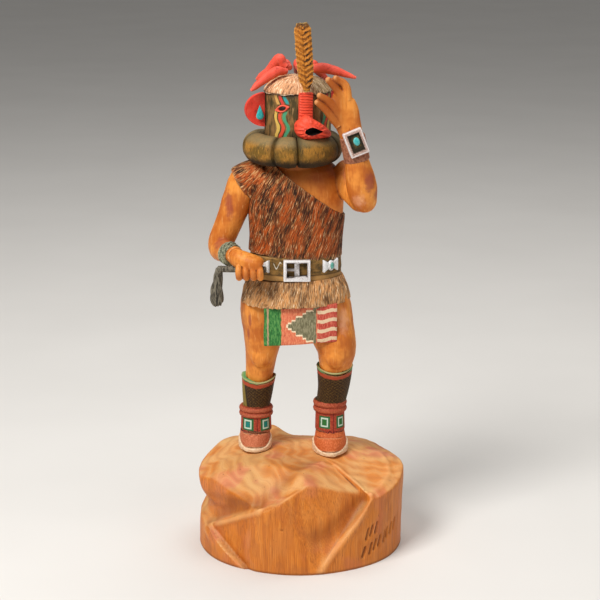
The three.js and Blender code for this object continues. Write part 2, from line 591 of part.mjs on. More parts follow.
/** A half-round ear standing out from the side of the mask; side is -1 for the right ear. */
function ear(side) {
  const shape = new THREE.Shape();
  shape.absellipse(0, 0, EAR.reach, EAR.radius, -Math.PI / 2, Math.PI / 2, false, 0);
  const geometry = new THREE.ExtrudeGeometry(shape, {
    depth: EAR.thickness - 1, bevelEnabled: true, bevelSize: 0.6, bevelThickness: 0.5,
    bevelOffset: -0.6, bevelSegments: 1, curveSegments: 8,
  });
  geometry.rotateX(Math.PI / 2);
  geometry.scale(side, 1, 1);
  geometry.translate(side * (HEAD.radius + GAP), EAR.thickness / 2 - 1, EAR.z);
  return onHead(solid(geometry));
}

/** The inlaid turquoise drop glued on the front of an ear. */
function earDrop(side) {
  const shape = new THREE.Shape();
  const half = DROP.width / 2;
  shape.moveTo(0, DROP.height - half);
  shape.quadraticCurveTo(half * 0.5, half * 1.4, half, 0);
  shape.absarc(0, 0, half, 0, -Math.PI, true);
  shape.quadraticCurveTo(-half * 0.5, half * 1.4, 0, DROP.height - half);
  const geometry = new THREE.ExtrudeGeometry(shape, {
    depth: DROP.thickness, bevelEnabled: false, curveSegments: 4,
  });
  geometry.rotateX(Math.PI / 2);
  const face = -EAR.thickness / 2 - 0.5 - GAP;
  geometry.translate(side * (HEAD.radius + 2.9), face, DROP.z - 1.2);
  return onHead(solid(geometry));
}

/** The stiff carved plume, notched down both edges, before the fringe. */
function feather() {
  const { x, y, low, high, lean, halfWidth, halfThickness } = FEATHER;
  const at = (share, half, thick) => [
    x - 2.2 * share, y + lean * share, low + (high - low) * share, half * halfWidth, thick * halfThickness,
  ];
  const stations = [at(0, 0.35, 0.6), at(0.08, 0.5, 0.9)];
  for (let notch = 0; notch < FEATHER.notches; notch += 1) {
    const share = 0.16 + (0.74 * notch) / (FEATHER.notches - 1);
    const swell = 0.74 + 0.26 * Math.sin(Math.PI * Math.min(0.62, share * 0.8));
    stations.push(at(share, swell * (notch % 2 ? 1.04 : 0.92), 1));
  }
  stations.push(at(1, 0.58, 0.5));
  return limb(stations, { sides: 6, steps: 16 });
}

/** The chilli peppers, by the way each points from the crown, its reach, drop and girth. */
const CHILLIES = {
  chilli_right_side: { azimuth: 166, reach: 19.6, crown: 229.2, arch: 3.6, tipZ: 223, radius: 2.6 },
  chilli_right_front: { azimuth: 206, reach: 23.5, crown: 227.7, arch: 0.2, tipZ: 220, radius: 2.5 },
  chilli_left_side: { azimuth: 356, reach: 26.8, crown: 228.6, arch: 0.4, tipZ: 224.6, radius: 2.4 },
  chilli_left_back: { azimuth: 45, reach: 21, crown: 228.4, arch: 1, tipZ: 220.5, radius: 2.4 },
  chilli_back: { azimuth: 88, reach: 22, crown: 228.4, arch: 1.2, tipZ: 219, radius: 2.5 },
  chilli_right_back: { azimuth: 128, reach: 22.5, crown: 228.4, arch: 1.4, tipZ: 220, radius: 2.4 },
};

/** One chilli pepper that springs from the crown and arches over its edge. */
function chilli({ azimuth, reach, crown, arch, tipZ, radius }) {
  const way = new THREE.Vector2(Math.cos(radians(azimuth)), Math.sin(radians(azimuth)));
  const at = (out, z, r) => [HEAD.x + way.x * out, HEAD.y + way.y * out, z, r, r];
  const fall = crown - tipZ;
  return limb([
    at(CHILLI_START, crown, radius * 0.5), at(CHILLI_START + 2, crown + arch * 0.4, radius * 0.76),
    at(reach * 0.45, crown + arch, radius), at(reach * 0.68, crown - fall * 0.32, radius * 0.86),
    at(reach * 0.87, crown - fall * 0.72, radius * 0.56), at(reach, tipZ, radius * 0.18),
  ], { sides: 6, steps: 6, front: new THREE.Vector3(way.y, -way.x, 0.01) });
}

/** The whip: its grip through the fist and the lash that hangs from its outer end. */
function whip() {
  const { gripLow, gripHigh, gripZ, gripRadius: r } = WHIP;
  const grip = limb([
    [gripLow, -14.6, gripZ - 1.2, r, r], [-28, -18.6, gripZ - 0.4, r, r], [gripHigh, -21, gripZ, r, r],
  ], { steps: 2, front: UP });
  const lash = limb([
    [-35.6, -14.8, 138.8, 1.2, 1.2], [-37.2, -14.4, 137.4, 1.7, 1.6], [-38, -13.8, 132, 2.2, 1.8],
    [-38.6, -13.4, 126, 3, 2.2], [-38.2, -13.2, 122, 2.8, 2], [-37.8, -13.2, 120.4, 1.6, 1.2],
  ], { sides: 7, steps: 6 });
  return grip.add(lash);
}

/** The room that the whip needs in the fist. */
function whipRoom() {
  const { gripLow, gripHigh, gripZ, gripRadius: r } = WHIP;
  return limb([
    [gripLow - 1, -14.2, gripZ - 1.3, r + GAP, r + GAP], [-28, -18.6, gripZ - 0.4, r + GAP, r + GAP],
    [gripHigh + 0.6, -21.3, gripZ, r + GAP, r + GAP],
  ], { steps: 2, front: UP });
}

// ---------------------------------------------------------------- assembly

const seats = [RIGHT_LEG, LEFT_LEG].map(({ foot }) => soleSlab(foot, SOLE_Z, SOLE_Z + 12, GAP));
const base = seats.reduce((whole, seat) => whole.subtract(seat), rock());

const kachina = new THREE.Group();
kachina.add(
  piece('base', base, WOOD),
  piece('figure', filled(figure().subtract(whipRoom())), SKIN),
  piece('ear_right', ear(-1), RED),
  piece('ear_left', ear(1), RED),
  piece('ear_drop_right', earDrop(-1), TURQUOISE),
  piece('ear_drop_left', earDrop(1), TURQUOISE),
  piece('feather', feather(), OCHRE),
  piece('whip', whip(), SOOT),
  ...Object.entries(CHILLIES).map(([name, sizes]) => piece(name, chilli(sizes), RED)),
);

export default kachina;
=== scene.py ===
"""A carved chilli-runner doll on its rock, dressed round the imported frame.

On the bench everything is in millimetres, +Z up, with the origin in the centre of the rock's
flat underside. The figure faces -Y and its own right hand is on the -X side. A finished piece
is brought to metres, with its place in its mesh.
"""

import logging
import math
from dataclasses import dataclass
from enum import Enum
from typing import Any, Callable, Optional, Sequence, Union

import bmesh
import bpy
import numpy as np
from mathutils import Matrix, Vector


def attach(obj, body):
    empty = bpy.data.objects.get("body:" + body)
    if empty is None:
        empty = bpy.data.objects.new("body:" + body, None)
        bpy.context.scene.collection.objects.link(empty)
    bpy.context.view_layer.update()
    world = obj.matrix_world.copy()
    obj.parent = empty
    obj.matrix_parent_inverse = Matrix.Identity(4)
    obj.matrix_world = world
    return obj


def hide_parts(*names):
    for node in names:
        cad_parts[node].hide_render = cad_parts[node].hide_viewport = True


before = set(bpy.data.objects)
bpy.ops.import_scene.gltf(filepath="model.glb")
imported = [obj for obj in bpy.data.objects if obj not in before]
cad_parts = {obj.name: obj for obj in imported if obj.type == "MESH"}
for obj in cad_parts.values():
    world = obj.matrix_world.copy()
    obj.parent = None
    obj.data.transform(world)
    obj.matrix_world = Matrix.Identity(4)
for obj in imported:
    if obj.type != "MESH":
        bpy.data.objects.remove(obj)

log = logging.getLogger("chilli_runner")

MM = 0.001
FRONT = Vector((0, -1, 0))
UP = Vector((0, 0, 1))
SIDEWAYS = Vector((1, 0, 0))
SOLE_Z = 46.0  # where the soles stand on the rock
GAP = 0.3  # the air between two pieces

Rows = np.ndarray
Socket = bpy.types.NodeSocket
Piece = bpy.types.Object
Material = bpy.types.Material
Triple = tuple[float, float, float]
Station = tuple[float, float, float, float, float]
Stroke = Callable[[Rows, Rows], Rows]
Colour = tuple[int, int, int]


def turned(degrees: float, axis: str) -> Matrix:
    """A turn about an axis."""
    return Matrix.Rotation(math.radians(degrees), 4, axis)


# ---------------------------------------------------------------- shader maths


def paint(colour: Colour) -> tuple[float, float, float, float]:
    """A paint given from 0 to 255, as the linear colour that a socket takes."""
    shades = [part / 255 for part in colour]
    linear = [s / 12.92 if s <= 0.04045 else ((s + 0.055) / 1.055) ** 2.4 for s in shades]
    return (*linear, 1.0)


class Value:
    """A number that varies over a surface, so that sums of it can be written plainly."""

    def __init__(self, pot: "Pot", socket: Socket) -> None:
        """Args:
        pot: the material that the number belongs to.
        socket: the output that gives it.
        """
        self.pot = pot
        self.socket = socket

    def maths(self, operation: str, *others: "Number") -> "Value":
        """Adds a Math node.

        Args:
            operation: what the node does.
            others: its further operands.

        Returns:
            The node's result.
        """
        sockets = {n: one for n, one in enumerate((self, *others))}
        return self.pot.value(self.pot.node("ShaderNodeMath", {"operation": operation}, sockets).outputs[0])

    def __add__(self, other: "Number") -> "Value":
        """Sum."""
        return self.maths("ADD", other)

    def __radd__(self, other: float) -> "Value":
        """Reflected sum."""
        return self.maths("ADD", other)

    def __sub__(self, other: "Number") -> "Value":
        """Difference."""
        return self.maths("SUBTRACT", other)

    def __rsub__(self, other: float) -> "Value":
        """Reflected difference."""
        return (-self).maths("ADD", other)

    def __mul__(self, other: "Number") -> "Value":
        """Product."""
        return self.maths("MULTIPLY", other)

    def __rmul__(self, other: float) -> "Value":
        """Reflected product."""
        return self.maths("MULTIPLY", other)

    def __truediv__(self, other: "Number") -> "Value":
        """Quotient."""
        return self.maths("DIVIDE", other)

    def __neg__(self) -> "Value":
        """The number with its sign turned."""
        return self.maths("MULTIPLY", -1.0)

    def size(self) -> "Value":
        """The number without its sign."""
        return self.maths("ABSOLUTE")

    def sine(self) -> "Value":
        """The sine, of radians."""
        return self.maths("SINE")

    def wrapped(self) -> "Value":
        """What is left after whole numbers are taken off."""
        return self.maths("FRACT")

    def most(self, other: "Number") -> "Value":
        """The larger of two."""
        return self.maths("MAXIMUM", other)

    def rise(self, low: float, high: float) -> "Value":
        """A soft step.

        Args:
            low: where the step is still 0.
            high: where it has reached 1. It may lie below low, and the step then falls.

        Returns:
            The step.
        """
        settings = {"interpolation_type": "SMOOTHSTEP"}
        node = self.pot.node("ShaderNodeMapRange", settings, {0: self, 1: low, 2: high})
        return self.pot.value(node.outputs[0])

    def band(self, low: float, high: float, soft: float = 0.12) -> "Value":
        """1 between two limits and 0 outside them, with soft edges."""
        return self.rise(low - soft, low + soft) * self.rise(high + soft, high - soft)


Number = Union[Value, float]


class Pot:
    """One material being mixed, in millimetres on the object's own coordinates.

    It holds the colour that has been laid so far.
    """

    def __init__(self, name: str) -> None:
        """Args:
        name: the material's name.
        """
        self.material = bpy.data.materials.new(name)
        self.material.use_nodes = True
        self.tree = self.material.node_tree
        self.tree.nodes.clear()
        self.shader = self.node("ShaderNodeBsdfPrincipled")
        self.node("ShaderNodeOutputMaterial", sockets={0: self.shader.outputs[0]})
        raw = self.node("ShaderNodeTexCoord").outputs["Object"]
        self.place = self.stretched(raw, (1 / MM, 1 / MM, 1 / MM))
        self.colour: Any = (255, 255, 255)

    def node(
        self, kind: str, settings: Optional[dict[str, Any]] = None,
        sockets: Optional[dict[Union[int, str], Any]] = None,
    ) -> bpy.types.Node:
        """Adds any node.

        Args:
            kind: the node's type.
            settings: its properties.
            sockets: values or links for its inputs, by number or name.

        Returns:
            The node.
        """
        node = self.tree.nodes.new(kind)
        for key, setting in (settings or {}).items():
            setattr(node, key, setting)
        for key, given in (sockets or {}).items():
            self.feed(node.inputs[key], given)
        return node

    def feed(self, socket: Socket, given: Any) -> None:
        """Sets a socket to a plain value, or links a varying one to it."""
        if isinstance(given, Value):
            given = given.socket
        if isinstance(given, Socket):
            self.tree.links.new(given, socket)
        else:
            socket.default_value = given

    def value(self, socket: Socket) -> Value:
        """Wraps a socket."""
        return Value(self, socket)

    def stretched(self, vector: Socket, scale: Triple) -> Socket:
        """A vector with each axis multiplied."""
        return self.node("ShaderNodeVectorMath", {"operation": "MULTIPLY"}, {0: vector, 1: scale}).outputs[0]

    def moved(self, vector: Socket, by: Triple) -> Socket:
        """A vector with an offset taken off, so that a pattern is centred there."""
        return self.node("ShaderNodeVectorMath", {"operation": "SUBTRACT"}, {0: vector, 1: by}).outputs[0]

    def twisted(self, vector: Socket, angle: Number) -> Socket:
        """A vector turned about the vertical, by an angle that may vary with its height."""
        settings = {"rotation_type": "Z_AXIS"}
        return self.node("ShaderNodeVectorRotate", settings, {0: vector, 3: angle}).outputs[0]

    def axes(self, vector: Socket) -> tuple[Value, Value, Value]:
        """The three numbers of a vector."""
        parts = self.node("ShaderNodeSeparateXYZ", sockets={0: vector}).outputs
        return self.value(parts[0]), self.value(parts[1]), self.value(parts[2])

    def azimuth(self, vector: Socket) -> Value:
        """Degrees round the vertical from the front, growing towards +X."""
        x, y, _ = self.axes(vector)
        return x.maths("ARCTAN2", -y) * math.degrees(1)

    def combed(self, vector: Socket, radius: float, pace: float) -> Socket:
        """A vector whose noise makes strokes down a round body and in over its top.

        Args:
            vector: where it is read, centred on the body's upright axis.
            radius: the body's radius.
            pace: how fast the noise goes down the strokes, against 1 across them.

        Returns:
            The vector.
        """
        x, y, z = self.axes(vector)
        flat = self.distance(self.stretched(vector, (1, 1, 0))).most(0.5)
        sockets = {0: x / flat * radius, 1: y / flat * radius, 2: (z - flat * 0.8) * pace}
        return self.node("ShaderNodeCombineXYZ", sockets=sockets).outputs[0]

    def distance(self, vector: Socket) -> Value:
        """How long a vector is."""
        return self.value(self.node("ShaderNodeVectorMath", {"operation": "LENGTH"}, {0: vector}).outputs[1])

    def noise(self, vector: Socket, scale: float, detail: float = 2.0, rough: float = 0.5) -> Value:
        """Cloudy noise from 0 to 1.

        Args:
            vector: where it is read, in millimetres.
            scale: how many clouds to a millimetre.
            detail: how many finer layers it has.
            rough: how strong those are.

        Returns:
            The noise.
        """
        sockets = {"Vector": vector, "Scale": scale, "Detail": detail, "Roughness": rough}
        return self.value(self.node("ShaderNodeTexNoise", {"normalize": True}, sockets).outputs[0])

    def attribute(self, name: str) -> Value:
        """A number that the mesh carries."""
        settings = {"attribute_type": "GEOMETRY", "attribute_name": name}
        return self.value(self.node("ShaderNodeAttribute", settings).outputs["Fac"])

    def over(self, base: Any, top: Any, mask: Number) -> Socket:
        """Lays one colour over another.

        Args:
            base: the colour below, as a paint or a link.
            top: the colour above.
            mask: how much of the upper one shows.

        Returns:
            The mixed colour.
        """
        colours = [paint(one) if isinstance(one, tuple) else one for one in (base, top)]
        settings = {"data_type": "RGBA", "clamp_result": True}
        return self.node("ShaderNodeMix", settings, {0: mask, 6: colours[0], 7: colours[1]}).outputs[2]

    def lay(self, top: Any, mask: Number) -> None:
        """Lays a colour, as a paint or a link, over what the pot holds, as far as the mask shows it."""
        self.colour = self.over(self.colour, top, mask)

    def shade_and_wear(self, dark: Colour, pale: Colour, depth: float = 1.0) -> None:
        """Puts dirt and painted shade in the hollows, and wear and a painted highlight on the ridges.

        Args:
            dark: the dirt and painted shade.
            pale: the bare or rubbed colour, which is also a painted highlight.
            depth: how strongly both show.
        """
        hollow = self.attribute("hollow")
        # painted shade and dirt in the hollows, painted highlight and wear on the ridges
        self.lay(dark, hollow.rise(0.04, 0.42) * depth)
        self.lay(pale, hollow.rise(-0.1, -0.5) * 0.6 * depth)

    def spot(self, centre: Triple, half: Triple) -> Value:
        """How far out a place is from an egg's centre; 1 on its skin."""
        return self.distance(self.stretched(self.moved(self.place, centre), tuple(1 / part for part in half)))

    def dress(
        self, roughness: Number, height: Optional[Value] = None, metallic: float = 0.0, coat: float = 0.0,
    ) -> Material:
        """Finishes the material in the colour that the pot holds.

        Args:
            roughness: how matt it is.
            height: relief in millimetres, or nothing.
            metallic: how much of it is bare metal.
            coat: how much clear coat lies on it.

        Returns:
            The material.
        """
        sockets = self.shader.inputs
        self.feed(sockets["Base Color"], self.colour)
        self.feed(sockets["Roughness"], roughness)
        self.feed(sockets["Metallic"], metallic)
        self.feed(sockets["Coat Weight"], coat)
        sockets["Coat Roughness"].default_value = 0.35
        sockets["Specular IOR Level"].default_value = 0.25
        if height is not None:
            relief = self.node("ShaderNodeBump", sockets={"Strength": 1.0, "Distance": MM, "Height": height})
            self.feed(sockets["Normal"], relief.outputs[0])
        return self.material


# ---------------------------------------------------------------- the bench


def along(knots: Rows, marks: Rows) -> tuple[Rows, Rows]:
    """The smooth line that passes through its knots.

    Args:
        knots: one row per knot.
        marks: places along the line, from 0 to 1.

    Returns:
        The line's values and its slopes at the marks.
    """
    padded = np.vstack([2 * knots[0] - knots[1], knots, 2 * knots[-1] - knots[-2]])
    share = np.clip(marks, 0, 1) * (len(knots) - 1)
    first = np.minimum(share.astype(int), len(knots) - 2)
    t = (share - first)[:, None]
    a, b, c, d = (padded[first + n] for n in range(4))
    square, cube = 2 * a - 5 * b + 4 * c - d, 3 * b - a - 3 * c + d
    values = b + 0.5 * ((c - a) * t + square * t**2 + cube * t**3)
    slopes = 0.5 * ((c - a) + 2 * square * t + 3 * cube * t**2)
    return values, slopes


def step(values: Rows, low: float, high: float) -> Rows:
    """A soft step from 0 at low to 1 at high."""
    share = np.clip((values - low) / (high - low), 0, 1)
    return share * share * (3 - 2 * share)


def bump(values: Rows, middle: float, width: float) -> Rows:
    """A soft hump of height 1."""
    return np.exp(-(((values - middle) / width) ** 2))


def combed(points: Rows, radius: float, pace: float, slant: float = 0.0) -> Rows:
    """Where noise is read so that it makes strokes down a round body, leaning by slant per mm."""
    flat = np.maximum(np.hypot(points[:, 0], points[:, 1]), 0.5)
    turn = np.arctan2(points[:, 1], points[:, 0]) + points[:, 2] * slant
    down = (points[:, 2] - 0.8 * flat) * pace
    return np.stack([np.cos(turn) * radius, np.sin(turn) * radius, down], axis=1)


class Grain:
    """Smooth seeded noise that can be read at any points."""

    def __init__(self, seed: int, cells: int = 32) -> None:
        """Args:
        seed: what makes it different from another grain.
        cells: how many cells it has before it repeats.
        """
        self.cells = cells
        self.lattice = np.random.default_rng(seed).uniform(-1, 1, (cells, cells, cells))

    def read(self, points: Rows) -> Rows:
        """The noise at points, one cell to a unit, from -1 to 1."""
        whole = np.floor(points).astype(int)
        part = points - whole
        part = part * part * (3 - 2 * part)
        total = np.zeros(len(points))
        for corner in np.ndindex(2, 2, 2):
            at = (whole + corner) % self.cells
            weight = np.prod(np.where(np.array(corner) == 1, part, 1 - part), axis=1)
            total += weight * self.lattice[at[:, 0], at[:, 1], at[:, 2]]
        return total


class Bench:
    """Blender's modelling tools as a carver's bench, in millimetres."""

    def blank(self, name: str) -> Piece:
        """An empty mesh in edit mode, with nothing else selected."""
        bpy.ops.object.select_all(action="DESELECT")
        bpy.ops.object.add(type="MESH", enter_editmode=True, location=(0, 0, 0))
        bpy.context.object.name = name
        return bpy.context.object

    def take(self, piece: Piece) -> Piece:
        """Makes one piece the only one selected."""
        bpy.ops.object.select_all(action="DESELECT")
        piece.select_set(True)
        bpy.context.view_layer.objects.active = piece
        return piece

    def pick(self, piece: Piece, chosen: Callable[[int, Vector], bool]) -> None:
        """Selects, in edit mode, the points whose number and place are wanted."""
        bpy.ops.mesh.select_all(action="DESELECT")
        mesh = bmesh.from_edit_mesh(piece.data)
        for n, vertex in enumerate(mesh.verts):
            vertex.select = chosen(n, vertex.co)
        mesh.select_flush(True)
        bmesh.update_edit_mesh(piece.data)

    def close(self) -> None:
        """Turns the faces outwards and leaves edit mode."""
        bpy.ops.mesh.select_all(action="SELECT")
        bpy.ops.mesh.normals_make_consistent(inside=False)
        bpy.ops.object.mode_set(mode="OBJECT")

    def loft(
        self, name: str, stations: Sequence[Station], front: Vector = FRONT, sides: int = 20, rings: int = 16,
    ) -> Piece:
        """A round body that follows a path.

        Args:
            name: the piece's name.
            stations: x, y, z, half width across the path and half depth towards its front.
            front: which way its front looks.
            sides: points round each ring.
            rings: rings between its ends.

        Returns:
            The closed body.
        """
        piece = self.blank(name)
        values, slopes = along(np.array(stations, float), np.linspace(0, 1, rings + 1))
        for n, (value, slope) in enumerate(zip(values, slopes)):
            ahead = Vector(slope[:3]).normalized()
            across = front.cross(ahead).normalized()
            frame_of = Matrix((across, ahead.cross(across), ahead)).transposed()
            centre = tuple(value[:3])
            way = frame_of.to_euler()
            bpy.ops.mesh.primitive_circle_add(vertices=sides, radius=1, location=centre, rotation=way)
            bpy.ops.transform.resize(
                value=(value[3], value[4], 1), orient_type="GLOBAL", orient_matrix=frame_of,
                orient_matrix_type="GLOBAL", center_override=centre,
            )
            if n:
                self.pick(piece, lambda at, _: at >= (n - 1) * sides)
                bpy.ops.mesh.bridge_edge_loops()
        for first in (0, rings * sides):
            self.pick(piece, lambda at, _: first <= at < first + sides)
            bpy.ops.mesh.edge_face_add()
        self.close()
        return piece

    def egg(self, name: str, centre: Triple, half: Triple, segments: int = 24) -> Piece:
        """An egg with half sizes along X, Y and Z."""
        piece = self.blank(name)
        rings = segments // 2
        bpy.ops.mesh.primitive_uv_sphere_add(segments=segments, ring_count=rings, radius=1, location=centre)
        bpy.ops.transform.resize(value=half, center_override=centre)
        self.close()
        return piece

    def block(self, name: str, low: Triple, high: Triple, bevel: float, cuts: int = 0) -> Piece:
        """A box between two corners, with its edges rounded and its faces cut up."""
        piece = self.blank(name)
        centre = tuple((a + b) / 2 for a, b in zip(low, high))
        bpy.ops.mesh.primitive_cube_add(size=1, location=centre)
        bpy.ops.transform.resize(value=tuple(b - a for a, b in zip(low, high)), center_override=centre)
        bpy.ops.mesh.bevel(offset=bevel, segments=2, affect="EDGES")
        bpy.ops.mesh.select_all(action="SELECT")
        if cuts:
            bpy.ops.mesh.subdivide(number_cuts=cuts)
        self.close()
        return piece

    def hoop(
        self, name: str, centre: Triple, radius: float, tube: float, stretch: Triple = (1, 1, 1),
        around: int = 72, section: int = 12,
    ) -> Piece:
        """A ring lying flat round the vertical, stretched along X, Y and Z."""
        bpy.ops.object.select_all(action="DESELECT")
        bpy.ops.mesh.primitive_torus_add(
            major_radius=radius, minor_radius=tube, major_segments=around, minor_segments=section,
        )
        piece = bpy.context.object
        piece.name = name
        bpy.ops.object.mode_set(mode="EDIT")
        bpy.ops.mesh.select_all(action="SELECT")
        bpy.ops.transform.resize(value=stretch, center_override=(0, 0, 0))
        bpy.ops.transform.translate(value=centre)
        self.close()
        return piece

    def slice(self, piece: Piece, through: Triple, outward: Triple) -> Piece:
        """Cuts off what lies beyond a plane and closes the cut."""
        self.take(piece)
        bpy.ops.object.mode_set(mode="EDIT")
        bpy.ops.mesh.select_all(action="SELECT")
        bpy.ops.mesh.bisect(plane_co=through, plane_no=outward, use_fill=True, clear_outer=True)
        self.close()
        return piece

    def carve(self, piece: Piece, stroke: Stroke) -> Piece:
        """Moves every point of a piece.

        Args:
            piece: what is carved.
            stroke: gives the new points from the points and their outward directions.

        Returns:
            The piece.
        """
        moved = stroke(self.points(piece), self.outward(piece))
        piece.data.vertices.foreach_set("co", moved.astype(np.float32).ravel())
        piece.data.update()
        return piece

    def points(self, piece: Piece) -> Rows:
        """A piece's points, one row each."""
        place = np.zeros(len(piece.data.vertices) * 3, np.float32)
        piece.data.vertices.foreach_get("co", place)
        return place.reshape(-1, 3).astype(float)

    def outward(self, piece: Piece) -> Rows:
        """Which way a piece's surface looks at each of its points."""
        ways = np.zeros(len(piece.data.vertices) * 3, np.float32)
        piece.data.vertex_normals.foreach_get("vector", ways)
        return ways.reshape(-1, 3).astype(float)

    def shift(self, piece: Piece, matrix: Matrix) -> Piece:
        """Turns and moves a whole piece, in its mesh."""
        return self.carve(piece, lambda p, _: p @ np.array(matrix.to_3x3()).T + np.array(matrix.translation))

    def apply(self, piece: Piece, kind: str, **settings: Any) -> Piece:
        """Adds a modifier to a piece and applies it."""
        self.take(piece)
        modifier = piece.modifiers.new("work", kind)
        for key, setting in settings.items():
            setattr(modifier, key, setting)
        bpy.ops.object.modifier_apply(modifier="work")
        return piece

    def soften(self, piece: Piece, width: float, segments: int = 2, angle: float = 30) -> Piece:
        """Bevels the edges that are sharper than an angle."""
        limits = {"limit_method": "ANGLE", "angle_limit": math.radians(angle)}
        return self.apply(piece, "BEVEL", width=width, segments=segments, **limits)

    def thin(self, piece: Piece, share: float) -> Piece:
        """Keeps a share of a piece's triangles."""
        return self.apply(piece, "DECIMATE", ratio=share)

    def remesh(self, piece: Piece, grain: float, smooth: int = 0, keep: float = 1.0) -> Piece:
        """Melts overlapping shells into one skin.

        Args:
            piece: what is melted.
            grain: the size of its new cells.
            smooth: how many times it is rubbed smooth.
            keep: the share of triangles that stay.

        Returns:
            The piece.
        """
        self.apply(piece, "REMESH", mode="VOXEL", voxel_size=grain, adaptivity=0.0)
        if smooth:
            self.apply(piece, "SMOOTH", factor=0.5, iterations=smooth)
        if keep < 1:
            self.thin(piece, keep)
        return piece

    def join(self, name: str, parts: Sequence[Piece]) -> Piece:
        """Puts shells into one object without cutting them."""
        bpy.ops.object.select_all(action="DESELECT")
        for part in parts:
            part.select_set(True)
        bpy.context.view_layer.objects.active = parts[0]
        if len(parts) > 1:
            bpy.ops.object.join()
        parts[0].name = name
        return parts[0]

    def combine(self, whole: Piece, part: Piece, how: str = "UNION") -> Piece:
        """Adds a closed part to a closed whole, or cuts it out, with the part's own finish."""
        self.apply(whole, "BOOLEAN", operation=how, object=part, solver="MANIFOLD", material_mode="TRANSFER")
        bpy.data.objects.remove(part)
        return whole

    def coat(self, piece: Piece, material: Material) -> Piece:
        """Gives a piece one finish all over."""
        piece.data.materials.clear()
        piece.data.materials.append(material)
        return piece

    def mark_hollows(self, piece: Piece, rubs: int = 3) -> None:
        """Marks hollows and ridges on a piece, so that a finish can paint dirt and shade into the hollows and
        wear and highlights onto the ridges.

        Args:
            piece: the finished mesh; it gets the attribute "hollow", positive in hollows.
            rubs: how far the marks are spread.
        """
        mesh = piece.data
        edges = np.zeros(len(mesh.edges) * 2, np.int32)
        mesh.edges.foreach_get("vertices", edges)
        tail, head = edges.reshape(-1, 2).T
        points, outward = self.points(piece), self.outward(piece)
        reach = points[head] - points[tail]
        square = np.maximum((reach**2).sum(1), 0.04)
        count = np.bincount(tail, minlength=len(points)) + np.bincount(head, minlength=len(points))
        count = np.maximum(count, 1)
        bend = np.bincount(tail, (reach * outward[tail]).sum(1) / square, len(points))
        bend -= np.bincount(head, (reach * outward[head]).sum(1) / square, len(points))
        bend = np.clip(bend / count, -1.5, 1.5)
        for _ in range(rubs):
            near = np.bincount(tail, bend[head], len(points)) + np.bincount(head, bend[tail], len(points))
            bend = 0.4 * bend + 0.6 * near / count
        mark = mesh.attributes.new("hollow", "FLOAT", "POINT")
        mark.data.foreach_set("value", bend.astype(np.float32))

    def finish(self, piece: Piece, name: str, nodes: Sequence[str], slot: str, crease: float = 40) -> None:
        """Brings a piece to metres and hands it to the frame.

        Args:
            piece: the piece on the bench.
            name: its final name.
            nodes: the frame's nodes that it stands for.
            slot: the material slot that it takes; not used.
            crease: degrees past which an edge stays sharp.
        """
        self.mark_hollows(piece)
        self.take(piece)
        bpy.ops.object.shade_smooth_by_angle(angle=math.radians(crease))
        piece.data.transform(Matrix.Scale(MM, 4))
        piece.name = piece.data.name = name
        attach(piece, "root")
        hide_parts(*nodes)
        log.info("%s: %d faces", name, len(piece.data.polygons))


BENCH = Bench()


# ---------------------------------------------------------------- finishes


